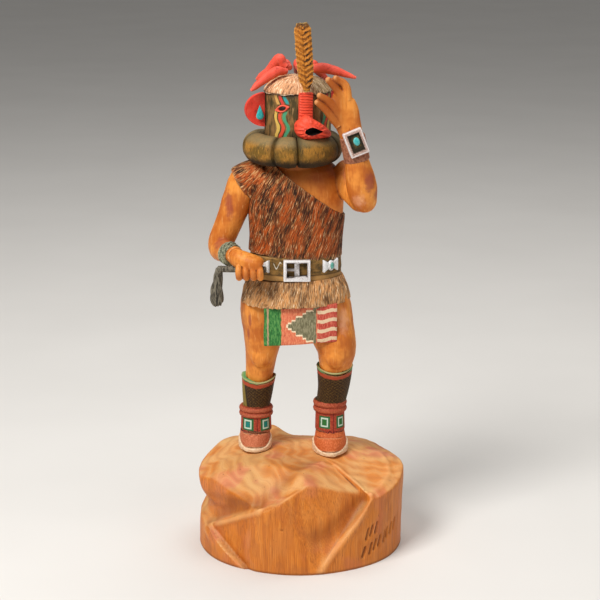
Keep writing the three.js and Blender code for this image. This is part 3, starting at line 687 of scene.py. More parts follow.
@dataclass(frozen=True)
class OiledWood:
    """Oiled root wood: growth rings round an upright heart, and a fine upright grain."""

    tan: Colour = (216, 156, 94)
    honey: Colour = (208, 118, 34)
    amber: Colour = (172, 84, 18)
    rose: Colour = (208, 118, 86)
    straw: Colour = (208, 164, 104)
    heart: Triple = (30, 12, 0)
    ring: float = 5.2

    def mix(self) -> Material:
        """The rock's material."""
        pot = Pot("oiled_wood")
        z = pot.axes(pot.place)[2]
        drift = pot.noise(pot.stretched(pot.place, (1, 1, 0.5)), 0.024, 3.0, 0.55)
        flat = pot.stretched(pot.moved(pot.place, self.heart), (1, 0.8, 0.3))
        radius = pot.distance(flat) + drift * 46
        rings = (radius * (math.tau / self.ring)).sine() * 0.5 + 0.5
        lines = (radius * (math.tau * 3 / self.ring)).sine() * 0.5 + 0.5
        upright = pot.twisted(pot.place, 0.2)
        fine = pot.noise(pot.stretched(upright, (2.8, 2.8, 0.07)), 1.0, 3.0, 0.6)
        broad = pot.noise(pot.stretched(upright, (0.22, 0.22, 0.02)), 1.0, 2.0)
        # painted shade: steep sides are mixed darker honey and amber while the flatter top stays pale tan, as
        # light from above falls
        shaded_sides = pot.axes(pot.node("ShaderNodeNewGeometry").outputs["Normal"])[2].rise(0.8, 0.25)
        cloud = pot.noise(pot.place, 0.05, 3.0, 0.6)
        pot.colour = pot.over(self.tan, self.honey, cloud.rise(0.4, 0.62) * 0.75)
        pot.lay(self.straw, pot.noise(pot.place, 0.06, 2.0).rise(0.5, 0.64) * (1 - shaded_sides) * 0.5)
        # painted shade on the steep sides
        pot.lay(self.honey, shaded_sides * 0.85)
        pot.lay(self.amber, shaded_sides * broad.rise(0.42, 0.62) * 0.42)
        blush = pot.noise(pot.moved(pot.place, (9, 40, 3)), 0.055, 3.0).rise(0.5, 0.64)
        pot.lay(self.rose, blush * (1 - shaded_sides * 0.55) * 0.7)
        pot.lay((234, 186, 122), rings.rise(0.66, 1.0) * 0.26 * (1 - shaded_sides * 0.8))
        pot.lay((160, 88, 46), rings.rise(0.28, 0.0) * 0.24)
        pot.lay((184, 110, 62), lines.rise(0.2, 0.0) * 0.22 * (1 - shaded_sides))
        pot.lay((134, 68, 22), fine.rise(0.5, 0.34) * (shaded_sides * 0.3 + 0.12))
        pot.lay((238, 160, 72), fine.rise(0.55, 0.7) * (shaded_sides * 0.26 + 0.08))
        flecks = pot.noise(pot.stretched(pot.place, (1, 1, 0.4)), 0.8, 1.0).rise(0.72, 0.8)
        pot.lay((104, 50, 20), flecks * 0.5)
        fold = pot.attribute("fold")
        # painted shade in the folds' hollows and in the cut marks, painted highlight on the folds' ridges
        pot.lay((118, 58, 18), fold.rise(-0.1, -1.9) * 0.5)
        pot.lay((240, 180, 116), fold.rise(0.1, 1.1) * 0.5)
        pot.lay((96, 48, 20), z.rise(1.6, 0.0) * 0.7)
        pot.shade_and_wear((104, 50, 18), (244, 186, 126), 0.85)
        height = fine * 0.14 + rings * 0.05
        return pot.dress(fine * 0.2 + 0.42, height=height)


@dataclass(frozen=True)
class SkinWood:
    """Bare, oiled wood of the body, with the darker knots of its grain."""

    light: Colour = (226, 142, 58)
    deep: Colour = (188, 100, 30)
    knot: Colour = (142, 60, 50)
    knots: tuple[tuple[Triple, Triple], ...] = (
        ((-32.6, -4, 166), (2.6, 6, 8)),
        ((-35.5, -8, 148.4), (6, 6.5, 4.2)),
        ((31, -20, 180), (3.2, 5, 6.5)),
        ((34, -16, 174), (3, 5, 4)),
        ((-23.4, -8, 112), (0.9, 6, 5)),
        ((-24.2, -8, 104.5), (0.9, 6, 5.4)),
    )
    # painted highlights: pale pink patches on the +X thigh and shoulder where light falls
    blush: tuple[tuple[Triple, Triple], ...] = (((21, -14, 114), (4.5, 7, 9)), ((27, -18, 172), (4, 6, 5)))

    def mix(self) -> Material:
        """The body's material."""
        pot = Pot("skin_wood")
        streak = pot.noise(pot.stretched(pot.place, (0.9, 0.9, 0.1)), 0.9, 3.0, 0.6)
        cloud = pot.noise(pot.place, 0.09, 3.0, 0.6)
        pot.colour = pot.over(self.light, self.deep, cloud.rise(0.36, 0.66))
        pot.lay((170, 84, 28), streak.rise(0.48, 0.3) * 0.5)
        pot.lay((246, 184, 112), streak.rise(0.56, 0.74) * 0.4)
        x, _, z = pot.axes(pot.place)
        # painted shadow of the ruff: the chest and shoulders just below it are darkened
        under_shade = z.rise(167, 181) * x.band(-24, 19, 3)
        pot.lay((138, 62, 10), under_shade * 0.75)
        ragged = pot.noise(pot.place, 0.5, 3.0) * 0.9
        for centre, half in self.knots:
            pot.lay(self.knot, (pot.spot(centre, half) + ragged).rise(1.5, 0.9) * 0.66)
        # painted highlights from the blush list
        for centre, half in self.blush:
            pot.lay((232, 170, 132), (pot.spot(centre, half) + ragged).rise(1.5, 0.7) * 0.6)
        pot.shade_and_wear((112, 48, 14), (250, 190, 124), 0.9)
        return pot.dress(streak * 0.2 + 0.4, height=streak * 0.12)


class Pelt(Enum):
    """The two furs: their dark, middle, warm, light and fleck paints."""

    TUNIC = ((32, 17, 8), (118, 62, 26), (170, 76, 20), (200, 142, 86), (226, 194, 150))
    HEM = ((96, 62, 34), (184, 136, 88), (208, 146, 88), (226, 192, 146), (240, 220, 190))


@dataclass(frozen=True)
class FurPaint:
    """Fur painted in many short slanting strokes."""

    pelt: Pelt
    slant: float = -0.019
    centre: Triple = (-1.6, 0, 160)
    radius: float = 21.0

    def mix(self) -> Material:
        """The fur's material."""
        dark, middle, warm, light, fleck = self.pelt.value
        pot = Pot(f"fur_{self.pelt.name.lower()}")
        here = pot.moved(pot.place, self.centre)
        z = pot.axes(here)[2]
        sway = pot.noise(pot.place, 0.07, 1.0) * 0.2 - 0.1
        lie = pot.combed(pot.twisted(here, z * self.slant + sway), self.radius, 1.0)
        hair = pot.noise(pot.stretched(lie, (1, 1, 0.11)), 2.1, 3.0, 0.6)
        other = pot.noise(pot.stretched(pot.moved(lie, (31, 7, 5)), (1, 1, 0.13)), 2.3, 2.0, 0.55)
        tuft = pot.noise(pot.stretched(lie, (1, 1, 0.3)), 0.5, 2.0)
        patch = pot.noise(pot.stretched(lie, (1, 1, 0.7)), 0.12, 2.0)
        pot.colour = pot.over(middle, warm, (patch + tuft * 0.5).rise(0.72, 0.9))
        pot.lay(dark, (patch + tuft * 0.7).rise(0.88, 0.7) * 0.85)
        pot.lay(dark, hair.rise(0.48, 0.4) * 0.8)
        pot.lay(warm, hair.rise(0.55, 0.62) * 0.7)
        pot.lay(light, other.rise(0.56, 0.64) * 0.65)
        pot.lay(fleck, (other * 0.6 + hair * 0.4).rise(0.59, 0.65) * 0.7)
        if self.pelt is Pelt.TUNIC:
            pot.lay(light, z.rise(11, 22) * other.rise(0.5, 0.58) * 0.6)
        edge = pot.noise(pot.place, 0.2, 2.0) * 3
        rim = (z + edge).rise(-14.5, -17.8) if self.pelt is Pelt.TUNIC else (z + edge).rise(6, 3)
        pot.lay(fleck, rim * hair.rise(0.45, 0.55) * 0.55)
        pot.shade_and_wear((30, 16, 12), (220, 178, 128), 0.7)
        return pot.dress(0.72, height=hair * 0.5 + other * 0.25 + tuft * 0.3)


@dataclass(frozen=True)
class Leather:
    """Brown-olive belt leather with a lighter lower strap."""

    low: float = 132.0

    def mix(self) -> Material:
        """The belt's material."""
        pot = Pot("belt_leather")
        x, _, z = pot.axes(pot.place)
        cloud = pot.noise(pot.stretched(pot.place, (1, 1, 1.6)), 0.3, 3.0, 0.6)
        hide = pot.noise(pot.place, 2.2, 3.0, 0.7)
        pot.colour = pot.over((80, 60, 26), (142, 104, 50), cloud.rise(0.36, 0.66))
        pot.lay((186, 138, 78), (z - self.low).rise(3.0, 2.0) * 0.6)
        pot.lay((60, 38, 14), (z - self.low - 2.9).size().rise(0.45, 0.1) * 0.6)
        tendril = (z - 139.6 - ((x + 10) * 1.7).sine() * 1.5).size().rise(0.5, 0.2) * x.band(-12.2, -8.6)
        pot.lay((214, 206, 186), tendril * 0.8)
        pot.shade_and_wear((40, 24, 10), (206, 160, 100))
        return pot.dress(0.62, height=hide * 0.2)


@dataclass(frozen=True)
class SilverLeaf:
    """Dull painted silver, stippled with darker specks."""

    name: str = "silver_leaf"
    blush: Colour = (206, 196, 192)
    bright: Colour = (240, 240, 242)

    def mix(self) -> Material:
        """The silver's material."""
        pot = Pot(self.name)
        speck = pot.noise(pot.place, 2.4, 3.0, 0.7)
        pot.colour = pot.over(self.blush, self.bright, speck.rise(0.46, 0.62))
        pot.lay((120, 112, 112), speck.rise(0.42, 0.32) * 0.8)
        pot.shade_and_wear((54, 38, 28), (250, 250, 250), 0.9)
        return pot.dress(0.45, height=speck * 0.25, metallic=0.2)


@dataclass(frozen=True)
class Stone:
    """Polished turquoise with a dark matrix."""

    tone: Colour = (36, 158, 158)

    def mix(self) -> Material:
        """The stone's material."""
        pot = Pot("turquoise")
        vein = pot.noise(pot.place, 1.0, 4.0, 0.7)
        pot.colour = pot.over(self.tone, (84, 196, 188), vein.rise(0.5, 0.7))
        pot.lay((14, 84, 80), vein.rise(0.4, 0.3) * 0.7)
        pot.shade_and_wear((16, 36, 34), (150, 222, 214), 0.8)
        return pot.dress(0.3, coat=0.4)


@dataclass(frozen=True)
class RedPaint:
    """Salmon-red paint over wood, with a warmer painted shade on the faces that look down."""

    name: str
    tone: Colour = (208, 72, 56)
    under_shade: Colour = (198, 74, 32)

    def mix(self) -> Material:
        """The paint's material."""
        pot = Pot(self.name)
        cloud = pot.noise(pot.place, 0.35, 3.0, 0.6)
        facing = pot.axes(pot.node("ShaderNodeNewGeometry").outputs["Normal"])[2]
        # painted shade: faces that look down turn to the warmer under colour
        pot.colour = pot.over(self.tone, self.under_shade, facing.rise(0.1, -0.7) * 0.8)
        pot.lay((222, 92, 70), cloud.rise(0.5, 0.7) * 0.5)
        pot.lay((160, 42, 32), cloud.rise(0.46, 0.3) * 0.65)
        pot.shade_and_wear((92, 22, 16), (238, 126, 104), 0.8)
        grain = pot.noise(pot.place, 1.6, 3.0, 0.7)
        return pot.dress(cloud * 0.2 + 0.42, height=grain * 0.12)


@dataclass(frozen=True)
class PlainPaint:
    """One hand-laid paint with a little cloud and grain in it."""

    name: str
    tone: Colour
    shade: Colour
    roughness: float = 0.6
    streaks: Triple = (1, 1, 1)

    def mix(self) -> Material:
        """The paint's material."""
        pot = Pot(self.name)
        cloud = pot.noise(pot.stretched(pot.place, self.streaks), 0.9, 3.0, 0.65)
        pot.colour = pot.over(self.tone, self.shade, cloud.rise(0.4, 0.64))
        dark = tuple(part // 3 for part in self.shade)
        pale = tuple(min(255, part + 30) for part in self.tone)
        pot.shade_and_wear(dark, pale, 0.8)
        return pot.dress(self.roughness, height=cloud * 0.2)


@dataclass(frozen=True)
class HeadFrame:
    """Where the turned head stands, and how a pattern on it is laid."""

    x: float = -1.1
    y: float = 0.0
    turn: float = 14.0

    def place(self) -> Matrix:
        """From a head that looks along -Y at 0,0 to its place on the figure."""
        return Matrix.Translation((self.x, self.y, 0)) @ turned(self.turn, "Z")

    def unturned(self, pot: Pot) -> Socket:
        """Object coordinates brought back to a head that looks along -Y at 0,0."""
        return pot.twisted(pot.moved(pot.place, (self.x, self.y, 0)), -math.radians(self.turn))


HEAD = HeadFrame()


@dataclass(frozen=True)
class MaskPaint:
    """The case mask: a streaked olive wash with three wavy stripes through each eye."""

    eye_z: float = 212.4

    def stripe(self, pot: Pot, turn: Value, z: Value, at: float, half: float, sway: float) -> Value:
        """One wavy upright stripe.

        Args:
            pot: the material.
            turn: degrees from the middle of the face, the same on both sides.
            z: height.
            at: the stripe's degrees.
            half: its half width in degrees.
            sway: how far it waves, in degrees.

        Returns:
            Its mask.
        """
        middle = ((z - 206) * 0.62).sine() * sway + at
        return (turn - middle).size().rise(half + 0.7, half - 0.5)

    def mix(self) -> Material:
        """The mask's material."""
        pot = Pot("mask_paint")
        here = HEAD.unturned(pot)
        azimuth, z = pot.azimuth(here), pot.axes(here)[2]
        turn = azimuth.size() + pot.noise(here, 0.7, 1.0) * 2 - 1
        streak = pot.noise(pot.stretched(here, (1, 1, 0.14)), 1.1, 3.0, 0.62)
        wash = pot.noise(pot.stretched(here, (1, 1, 0.4)), 0.3, 2.0)
        pot.colour = pot.over((72, 60, 30), (132, 98, 54), wash.rise(0.42, 0.6))
        pot.lay((176, 138, 90), streak.rise(0.56, 0.7) * 0.65)
        pot.lay((44, 36, 24), streak.rise(0.46, 0.32) * 0.85)
        below = z.rise(self.eye_z - 0.8, self.eye_z - 1.8)
        above = z.rise(self.eye_z + 1.2, self.eye_z + 2.2)
        for at, half, sway, low, high in (
            (51, 3.0, 3.0, (214, 174, 84), (206, 156, 84)),
            (42, 3.0, 3.4, (214, 74, 46), (202, 62, 52)),
            (33.2, 2.9, 3.6, (66, 148, 108), (46, 150, 148)),
        ):
            reach = z.rise(221, 220) if at > 35 else z.band(214.6, 218.2, 0.5)
            mask = self.stripe(pot, turn, z, at, half, sway)
            pot.lay(low, mask * below * 0.94)
            pot.lay(high, mask * above * reach * 0.94)
        shade = (z - 218.6).rise(-2.2, 0.4)
        pot.lay((36, 26, 18), shade * 0.8)
        pot.shade_and_wear((30, 22, 14), (190, 160, 112), 0.9)
        return pot.dress(0.62, height=streak * 0.35)


@dataclass(frozen=True)
class RuffPaint:
    """Olive and ochre stuffed hide, greyer above, with painted shade below and in its grooves."""

    middle: Triple = (-3.4, -1.0, 192.8)

    def mix(self) -> Material:
        """The ruff's material."""
        pot = Pot("ruff_hide")
        here = pot.moved(pot.place, self.middle)
        x, _, z = pot.axes(here)
        stroke = pot.noise(pot.stretched(here, (1, 1, 0.25)), 1.5, 3.0, 0.65)
        cloud = pot.noise(here, 0.16, 2.0)
        pot.colour = pot.over((160, 110, 38), (110, 80, 24), cloud.rise(0.4, 0.62))
        pot.lay((198, 146, 62), stroke.rise(0.56, 0.7) * 0.7)
        pot.lay((52, 42, 18), stroke.rise(0.46, 0.34) * 0.7)
        pot.lay((124, 110, 76), z.rise(2.2, 5.4) * 0.75)
        azimuth = pot.azimuth(here)
        # painted shade in the front grooves between the lobes
        for at in (-83, -23, 7, 67):
            pot.lay((40, 34, 10), (azimuth - at).size().rise(8, 2) * 0.6)
        # painted shade on the ruff's underside
        pot.lay((22, 15, 5), z.rise(-1.6, -5.0) * 0.92)
        # painted shadow of the raised arm on the ruff's +X end
        pot.lay((44, 40, 24), x.rise(12, 21) * 0.6)
        pot.shade_and_wear((26, 24, 14), (176, 150, 96), 1.0)
        return pot.dress(0.66, height=stroke * 0.3)


@dataclass(frozen=True)
class FringePaint:
    """Clipped fringe: pinkish cream that turns grey towards the left ear."""

    def mix(self) -> Material:
        """The fringe's material."""
        pot = Pot("fringe_paint")
        here = HEAD.unturned(pot)
        x, _, z = pot.axes(here)
        strand = pot.noise(pot.combed(here, 16, 0.2), 1.3, 3.0, 0.6)
        pot.colour = pot.over((202, 144, 100), (172, 144, 102), x.rise(-3, 7))
        pot.lay((238, 212, 174), strand.rise(0.52, 0.64) * 0.85)
        pot.lay((112, 74, 48), strand.rise(0.47, 0.38) * 0.8)
        # painted shadow band along the fringe's lower edge
        pot.lay((60, 44, 30), z.rise(219.5, 218.8) * 0.55)
        pot.shade_and_wear((70, 44, 30), (244, 218, 184), 0.7)
        return pot.dress(0.7, height=strand * 0.4)


@dataclass(frozen=True)
class ApronPaint:
    """The front apron: a green edge, a stepped cloud on salmon, and wavy stripes."""

    middle_z: float = 111.6
    steps: tuple[tuple[float, float], ...] = ((-5.6, 1.0), (-3.9, 1.3), (-1.9, 1.8), (1.2, 1.5), (2.8, 1.3))

    def mix(self) -> Material:
        """The apron's material."""
        pot = Pot("apron_paint")
        x, y, z = pot.axes(pot.place)
        wobble = pot.noise(pot.place, 0.6, 2.0) - 0.5
        u, v = x + wobble, z + wobble * 0.8
        brush = pot.noise(pot.stretched(pot.place, (1, 1, 0.3)), 1.6, 3.0, 0.65)
        salmon = pot.over((210, 108, 76), (226, 140, 100), brush.rise(0.42, 0.66))
        green = pot.over((36, 106, 48), (90, 144, 74), brush.rise(0.4, 0.66))
        green = pot.over(green, (196, 150, 124), (u + 14.9).size().rise(0.5, 0.2) * 0.75)
        cloud = pot.over((108, 104, 76), (142, 134, 104), brush.rise(0.42, 0.6))
        wave = ((x * 0.75).sine() * 0.35 + v - x * 0.1 - 104.9) * (1 / 4.5)
        red = pot.over((180, 66, 52), (204, 106, 84), brush.rise(0.44, 0.64))
        stripes = pot.over(red, (220, 190, 154), (wave.wrapped() - 0.76).size().rise(0.21, 0.17))
        pot.colour = pot.over(green, salmon, u.rise(-8.9, -8.5))
        pot.lay(stripes, u.rise(7.8, 8.2))
        half = sum((u.rise(at - 0.12, at + 0.12) * more for at, more in self.steps), start=0.0)
        off = (v - self.middle_z).size()
        inside = u.rise(7.2, 6.9)
        rim = (off - half).rise(0.85, 0.7) * u.rise(-6.6, -6.3) * inside
        body = (off - half).rise(0.12, -0.12) * u.rise(-5.8, -5.5) * inside
        barb = (v - 119.6 - (u - 6.4) * 0.55).size().rise(0.75, 0.5) * u.band(5.9, 9.2)
        hook = barb.most((u - 6.9).size().rise(0.7, 0.45) * v.band(103.2, 120))
        pot.lay((238, 214, 178), rim)
        pot.lay(cloud, body.most(hook))
        above = (z - 120.1 - (x - 3).most(0) * 0.12).rise(0, 0.5)
        pot.lay((150, 92, 48), above * 0.85)
        outside = (y + 17.5 + (x + 1.6) * (x + 1.6) * -0.004).rise(1.7, 2.7)
        pot.lay((176, 92, 48), outside)
        pot.lay((70, 34, 18), brush.rise(0.42, 0.3) * 0.4)
        pot.shade_and_wear((60, 30, 16), (240, 190, 150), 0.6)
        return pot.dress(0.66, height=brush * 0.2)


@dataclass(frozen=True)
class BootPaint:
    """A painted boot: rim, crosshatched shaft, rings, chequered anklet, suede and sole."""

    name: str
    x: float
    y: float
    rim: float
    shaft_low: float
    ring_low: float
    band_low: float
    vamp: Colour
    square: Colour
    flap: bool
    face: float = 0.0

    def mix(self) -> Material:
        """The boot's material."""
        pot = Pot(self.name)
        here = pot.twisted(pot.moved(pot.place, (self.x, self.y, 0)), -math.radians(self.face))
        z = pot.axes(here)[2]
        azimuth = pot.azimuth(here)
        wobble = pot.noise(pot.place, 0.7, 2.0) * 1.3 - 0.65
        brush = pot.noise(pot.place, 1.5, 3.0, 0.65)
        level = z + wobble
        arc = azimuth * 0.125
        hide = pot.over((46, 27, 8), (74, 48, 16), brush.rise(0.44, 0.66))
        for lean in (1.0, -1.0):
            line = ((arc * lean + z) * 0.62).wrapped()
            hatch = (line - 0.5).size().rise(0.09, 0.03) * brush.rise(0.34, 0.56)
            hide = pot.over(hide, (120, 92, 36), hatch * 0.55)
        if self.flap:
            hide = pot.over(hide, (134, 112, 44), azimuth.band(-96, -46, 6) * 0.9)
            hide = pot.over(hide, (40, 26, 12), (azimuth + 42).size().rise(6, 2) * 0.9)
        else:
            hide = pot.over(hide, (58, 84, 34), azimuth.rise(48, 70) * azimuth.rise(120, 100) * 0.8)
        rings = pot.over((152, 60, 36), (180, 88, 56), brush.rise(0.42, 0.62))
        pot.colour = pot.over(rings, hide, level.rise(self.shaft_low - 0.4, self.shaft_low + 0.2))
        front = azimuth.size().rise(75, 55)
        edge = z - self.rim - azimuth.size() * 0.026
        pot.lay((176, 70, 40), (edge + 2.1 + wobble).size().rise(1.2, 0.7) * 0.85)
        pot.lay((96, 156, 96), (edge + wobble * 0.5).rise(-1.0, -0.6))
        cuff = pot.over((150, 48, 32), (178, 78, 50), brush.rise(0.4, 0.64))
        middle = (self.ring_low + self.band_low) / 2
        upright = (z - middle).size()
        across = arc.size() - 5.0
        box = (across.size() - 3.1).most(upright - 3.0)
        cuff = pot.over(cuff, (38, 96, 52), box.rise(0.25, -0.15))
        ring = (across.size() - 1.7).most(upright - 1.9)
        cuff = pot.over(cuff, (206, 224, 204), ring.size().rise(0.5, 0.2) * 0.85)
        cuff = pot.over(cuff, self.square, ring.rise(-0.5, -0.8))
        cuff = pot.over(cuff, (86, 22, 16), arc.size().rise(0.34, 0.1) * 0.8)
        pot.lay(cuff, level.rise(self.ring_low + 0.3, self.ring_low - 0.3))
        pot.lay((52, 16, 12), (level - self.band_low).size().rise(0.55, 0.25))
        suede = pot.over(self.vamp, tuple(min(255, c + 26) for c in self.vamp), brush.rise(0.42, 0.62))
        pot.lay(suede, level.rise(self.band_low - 0.2, self.band_low - 0.6))
        stitch = ((arc * 1.1).wrapped() - 0.5).size().rise(0.24, 0.16)
        pot.lay((196, 70, 52), (z - self.band_low).size().rise(0.4, 0.2) * stitch * front)
        pot.shade_and_wear((34, 18, 10), (212, 168, 120), 0.8)
        return pot.dress(0.66, height=brush * 0.22)


@dataclass(frozen=True)
class PlumePaint:
    """Ochre feather with dark barbs, a spacing apart, that meet in a V on its swaying shaft."""

    low: float
    high: float
    x: float
    sway: float
    slope: float
    barbs: float

    def mix(self) -> Material:
        """The plume's material."""
        pot = Pot("plume_paint")
        x, _, z = pot.axes(pot.place)
        share = (z - self.low) * (1 / (self.high - self.low))
        across = x - self.x + share * self.sway
        wobble = pot.noise(pot.stretched(pot.place, (1, 1, 1.4)), 0.55, 3.0, 0.6) * 1.3
        barb = ((z - across.size() * self.slope) * (1 / self.barbs) + wobble).wrapped()
        brush = pot.noise(pot.stretched(pot.place, (1, 1, 0.6)), 1.9, 3.0, 0.65)
        pot.colour = pot.over((186, 110, 24), (136, 76, 14), brush.rise(0.4, 0.62))
        pot.lay((212, 142, 52), (barb - 0.72).size().rise(0.2, 0.1) * 0.4)
        side = across.rise(-1.6, 1.2) * 0.6 + 0.36
        patch = pot.noise(pot.moved(pot.place, (3, 9, 1)), 0.32, 2.0).rise(0.4, 0.56) * 0.5 + 0.5
        pot.lay((34, 22, 12), (barb - 0.24).size().rise(0.24, 0.1) * side * patch)
        pot.lay((58, 38, 18), (share + brush * 0.12).rise(0.96, 1.04) * 0.85)
        pot.lay((70, 74, 34), (share + brush * 0.1).rise(0.1, 0.03) * 0.6)
        pot.shade_and_wear((40, 24, 10), (236, 190, 110), 0.8)
        return pot.dress(0.62, height=brush * 0.25)


# ---------------------------------------------------------------- the rock


def soft_most(a: Rows, b: Rows, k: float) -> Rows:
    """The larger of two distances, with the edge between them rounded over k."""
    near = np.maximum(k - np.abs(a - b), 0) / k
    return np.maximum(a, b) + near * near * k * 0.25


def soft_least(a: Rows, b: Rows, k: float) -> Rows:
    """The smaller of two distances, rounded over k."""
    return -soft_most(-a, -b, k)


@dataclass(frozen=True)
class Facet:
    """A flat cut through three corners, with the side that is cut away."""

    a: Triple
    b: Triple
    c: Triple
    outward: Triple

    def outside(self, points: Rows) -> Rows:
        """How far points lie on the side that is cut away."""
        a, b, c = (np.array(one) for one in (self.a, self.b, self.c))
        normal = np.cross(b - a, c - a)
        normal = normal / np.linalg.norm(normal)
        if normal @ np.array(self.outward) < 0:
            normal = -normal
        return (points - a) @ normal


@dataclass(frozen=True)
class Fold:
    """A line along the rock: a raised ridge, painted with a highlight, where its height is positive; a
    hollow, painted with shade, where negative.
    """

    height: float
    width: float
    knots: tuple[Triple, ...]

    def lift(self, points: Rows) -> Rows:
        """How far it raises points."""
        near = np.full(len(points), 1e3)
        for tail, head in zip(self.knots, self.knots[1:]):
            start, way = np.array(tail), np.array(head) - np.array(tail)
            share = np.clip((points - start) @ way / (way @ way), 0, 1)
            near = np.minimum(near, np.linalg.norm(points - start - share[:, None] * way, axis=1))
        return self.height * bump(near, 0, self.width)


@dataclass(frozen=True)
class Marks:
    """A row of short slanting strokes: first azimuth, spacing, count, first height and rise per stroke."""

    first: float
    spacing: float
    count: int
    low: float
    rise: float
    height: float = 4.4
    slant: float = 1.8

    def strokes(self) -> list[tuple[float, float, float, float]]:
        """Both ends of every stroke, as azimuth and height, the lengths and spaces a little uneven."""
        rows = []
        for n in range(self.count):
            uneven = math.sin(n * 2.3 + self.low)
            at = self.first + (n + 0.16 * uneven) * self.spacing
            foot = self.low + n * self.rise - 0.3 * uneven
            rows.append((at, foot, at + self.slant, foot + self.height + 0.3 * uneven))
        return rows


